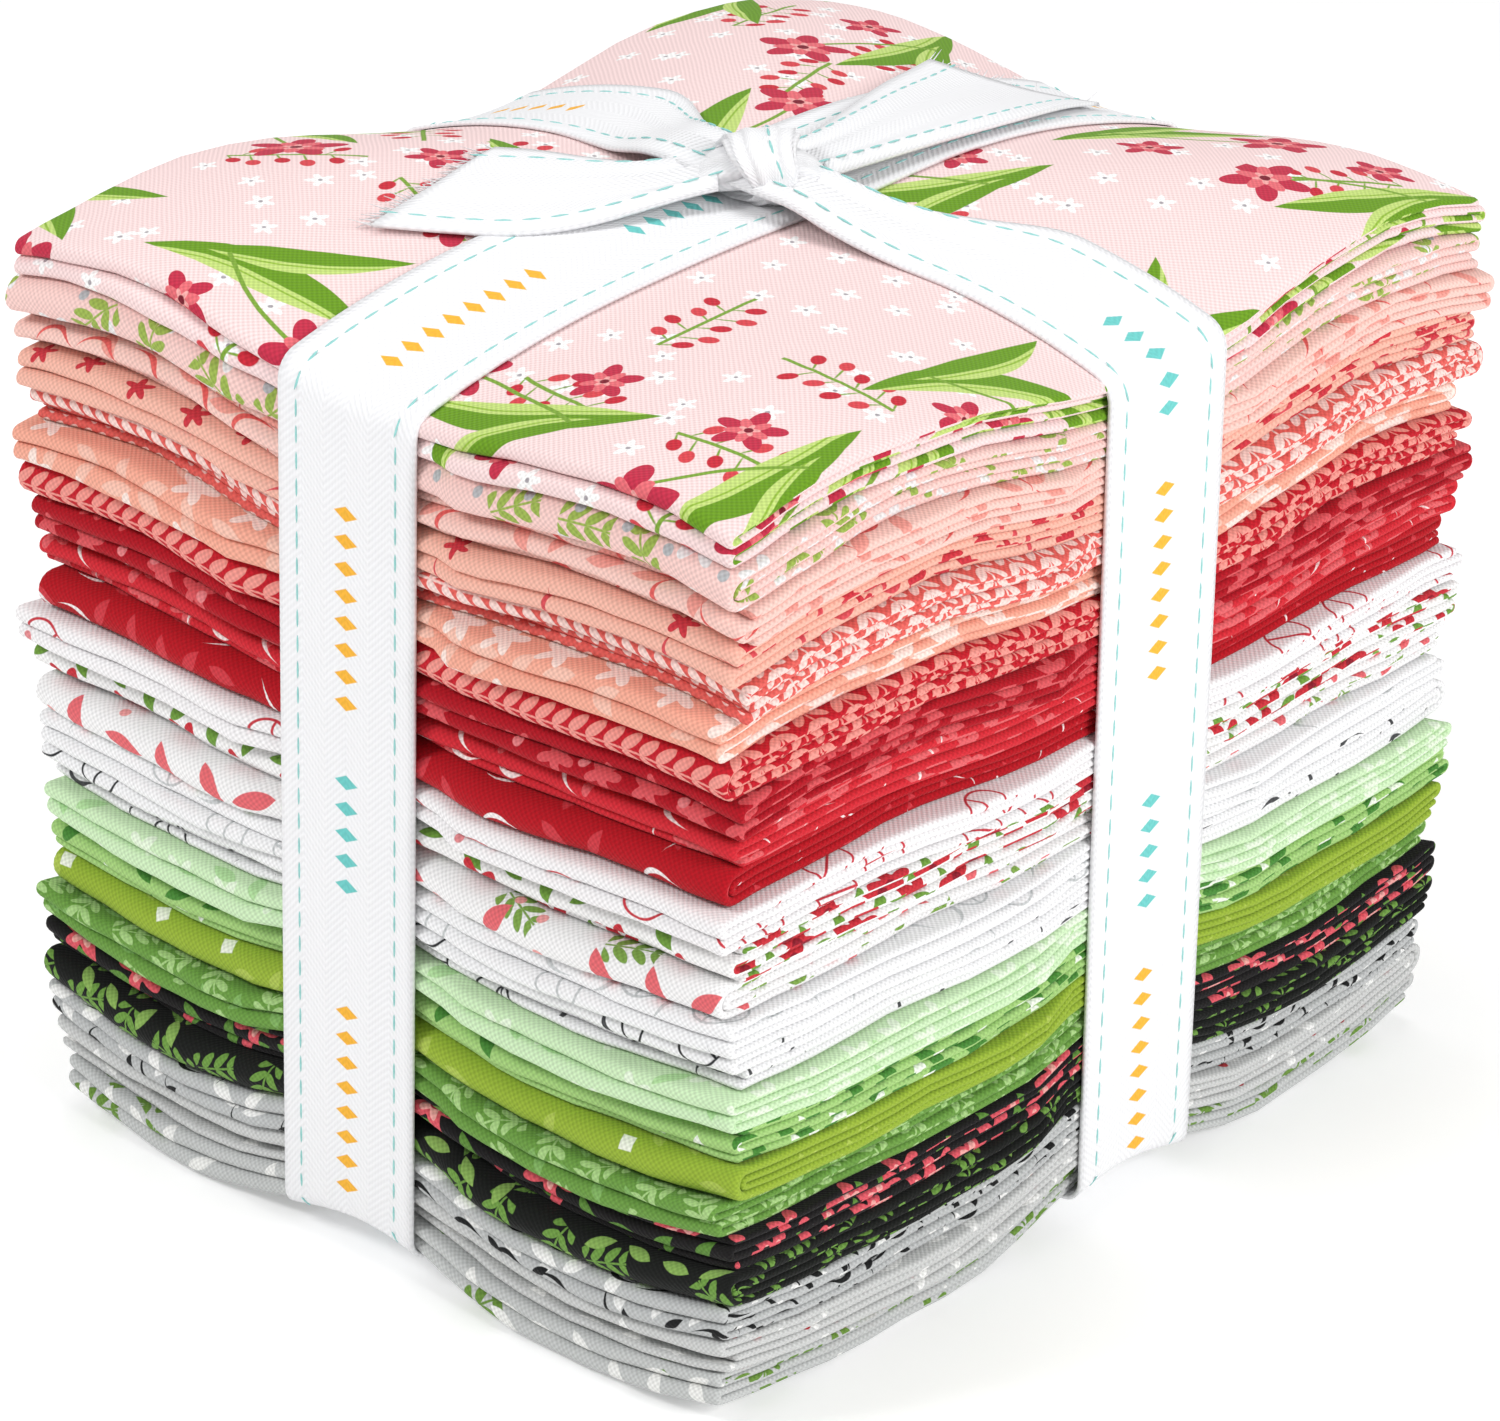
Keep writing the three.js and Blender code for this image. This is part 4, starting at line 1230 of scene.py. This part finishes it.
def tape_piece():
    """The whole tie as one mesh, the lines of its stitches and the cut ends that fray."""
    mesh = Mesh()
    lines, cuts = [], []
    for along_y in (True, False):
        lines += add_strip(mesh, band_path(along_y), True, 0 if along_y else SECOND_BAND)
    for tail in TAILS:
        path = tail_path(tail)
        lines += add_strip(mesh, path, False, PLAIN_TAPE)
        ahead = path[-1] - path[-2]
        cuts.append((path[-1], ahead / np.linalg.norm(ahead, axis=1, keepdims=True), False))
    lines += add_knot(mesh)
    piece = mesh_object("twill_tape", mesh.points, mesh.faces, mesh.uvs)
    facing_out(piece.data)
    piece.data.materials.append(tape_material())
    return piece, lines, cuts


# Camera, floor and light

IMAGE_WIDTH = 1500
FOCAL_PIXELS = 4911
CAMERA_PLACE = (374.1 * MM, -429.5 * MM, 309.9 * MM)
CAMERA_AZIMUTH = 41.17
CAMERA_ELEVATION = 24.43
CAMERA_ROLL = 1.15
CAMERA_NEAREST = 0.01
SENSOR = 36.0
FLOOR_REACH = 3.0
FLOOR_COLOUR = (0.9, 0.9, 0.9, 1)
FLOOR_ROUGHNESS = 0.9
FLOOR_GLOW = 0.2
WHITE = (1, 1, 1, 1)
WORLD_STRENGTH = 0.46
LIT_POINT = (0, 0, 0.06)
LIGHTS = (
    {"name": "key", "place": (-0.45, -0.8, 0.9), "size": 0.35, "power": 6.5},
    {"name": "fill", "place": (1.0, 0.0, 0.6), "size": 0.45, "power": 7.5},
    {"name": "overhead", "place": (-0.1, 0.1, 1.2), "size": 0.5, "power": 3},
)


def turn_matrix(axis, degrees):
    return Matrix.Rotation(math.radians(degrees), 3, axis)


def make_camera():
    data = bpy.data.cameras.new("photo_camera")
    data.sensor_fit = "HORIZONTAL"
    data.sensor_width = SENSOR
    data.lens = SENSOR * FOCAL_PIXELS / IMAGE_WIDTH
    data.clip_start = CAMERA_NEAREST
    camera = bpy.data.objects.new("photo_camera", data)
    tilted = turn_matrix("Y", CAMERA_ROLL) @ turn_matrix("X", CAMERA_ELEVATION)
    right, ahead, up = (Vector(row) for row in tilted @ turn_matrix("Z", -CAMERA_AZIMUTH))
    turned = Matrix((right, up, -ahead)).transposed()
    camera.matrix_world = Matrix.Translation(CAMERA_PLACE) @ turned.to_4x4()
    bpy.context.scene.collection.objects.link(camera)
    bpy.context.scene.camera = camera


def make_floor():
    corners = [(x * FLOOR_REACH, y * FLOOR_REACH, 0) for x, y in ((-1, -1), (1, -1), (1, 1), (-1, 1))]
    floor = mesh_object("floor", corners, [(0, 1, 2, 3)])
    material, pen = new_material("pale_floor")
    shader = pen.node("ShaderNodeBsdfPrincipled", {
        "Base Color": FLOOR_COLOUR, "Roughness": FLOOR_ROUGHNESS,
        "Emission Color": WHITE, "Emission Strength": FLOOR_GLOW})
    pen.node("ShaderNodeOutputMaterial", {"Surface": shader.outputs[0]})
    floor.data.materials.append(material)


def area_light(name, place, size, power):
    data = bpy.data.lights.new(name, "AREA")
    data.size = size
    data.energy = power
    light = bpy.data.objects.new(name, data)
    light.location = place
    light.rotation_euler = (Vector(LIT_POINT) - Vector(place)).to_track_quat("-Z", "Y").to_euler()
    bpy.context.scene.collection.objects.link(light)


def make_light():
    world = bpy.data.worlds.new("studio")
    world.use_nodes = True
    background = world.node_tree.nodes["Background"]
    background.inputs["Color"].default_value = WHITE
    background.inputs["Strength"].default_value = WORLD_STRENGTH
    bpy.context.scene.world = world
    for light in LIGHTS:
        area_light(light["name"], light["place"], light["size"], light["power"])
    bpy.context.scene.view_settings.view_transform = "Standard"


make_camera()
make_floor()
make_light()

names = sorted(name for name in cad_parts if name.startswith("cotton_"))
for level, (name, cotton) in enumerate(zip(names, COTTONS)):
    piece = cotton_piece(name, cotton, level)
    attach(piece, "root")
    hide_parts(name)

tape, stitch_lines, cut_ends = tape_piece()
stitch_thread = thread_material("teal_stitch_thread", STITCH_THREAD)
stitches = piece_along("tape_stitches", stitch_lines, stitch_tree(stitch_thread), STITCH_SIZES)
loose_thread = thread_material("loose_white_thread", LOOSE_THREAD)
fray = piece_along("frayed_threads", cut_ends, fray_tree(loose_thread), FRAY_SIZES)
for piece in (tape, stitches, fray):
    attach(piece, "root")
    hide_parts("tie")
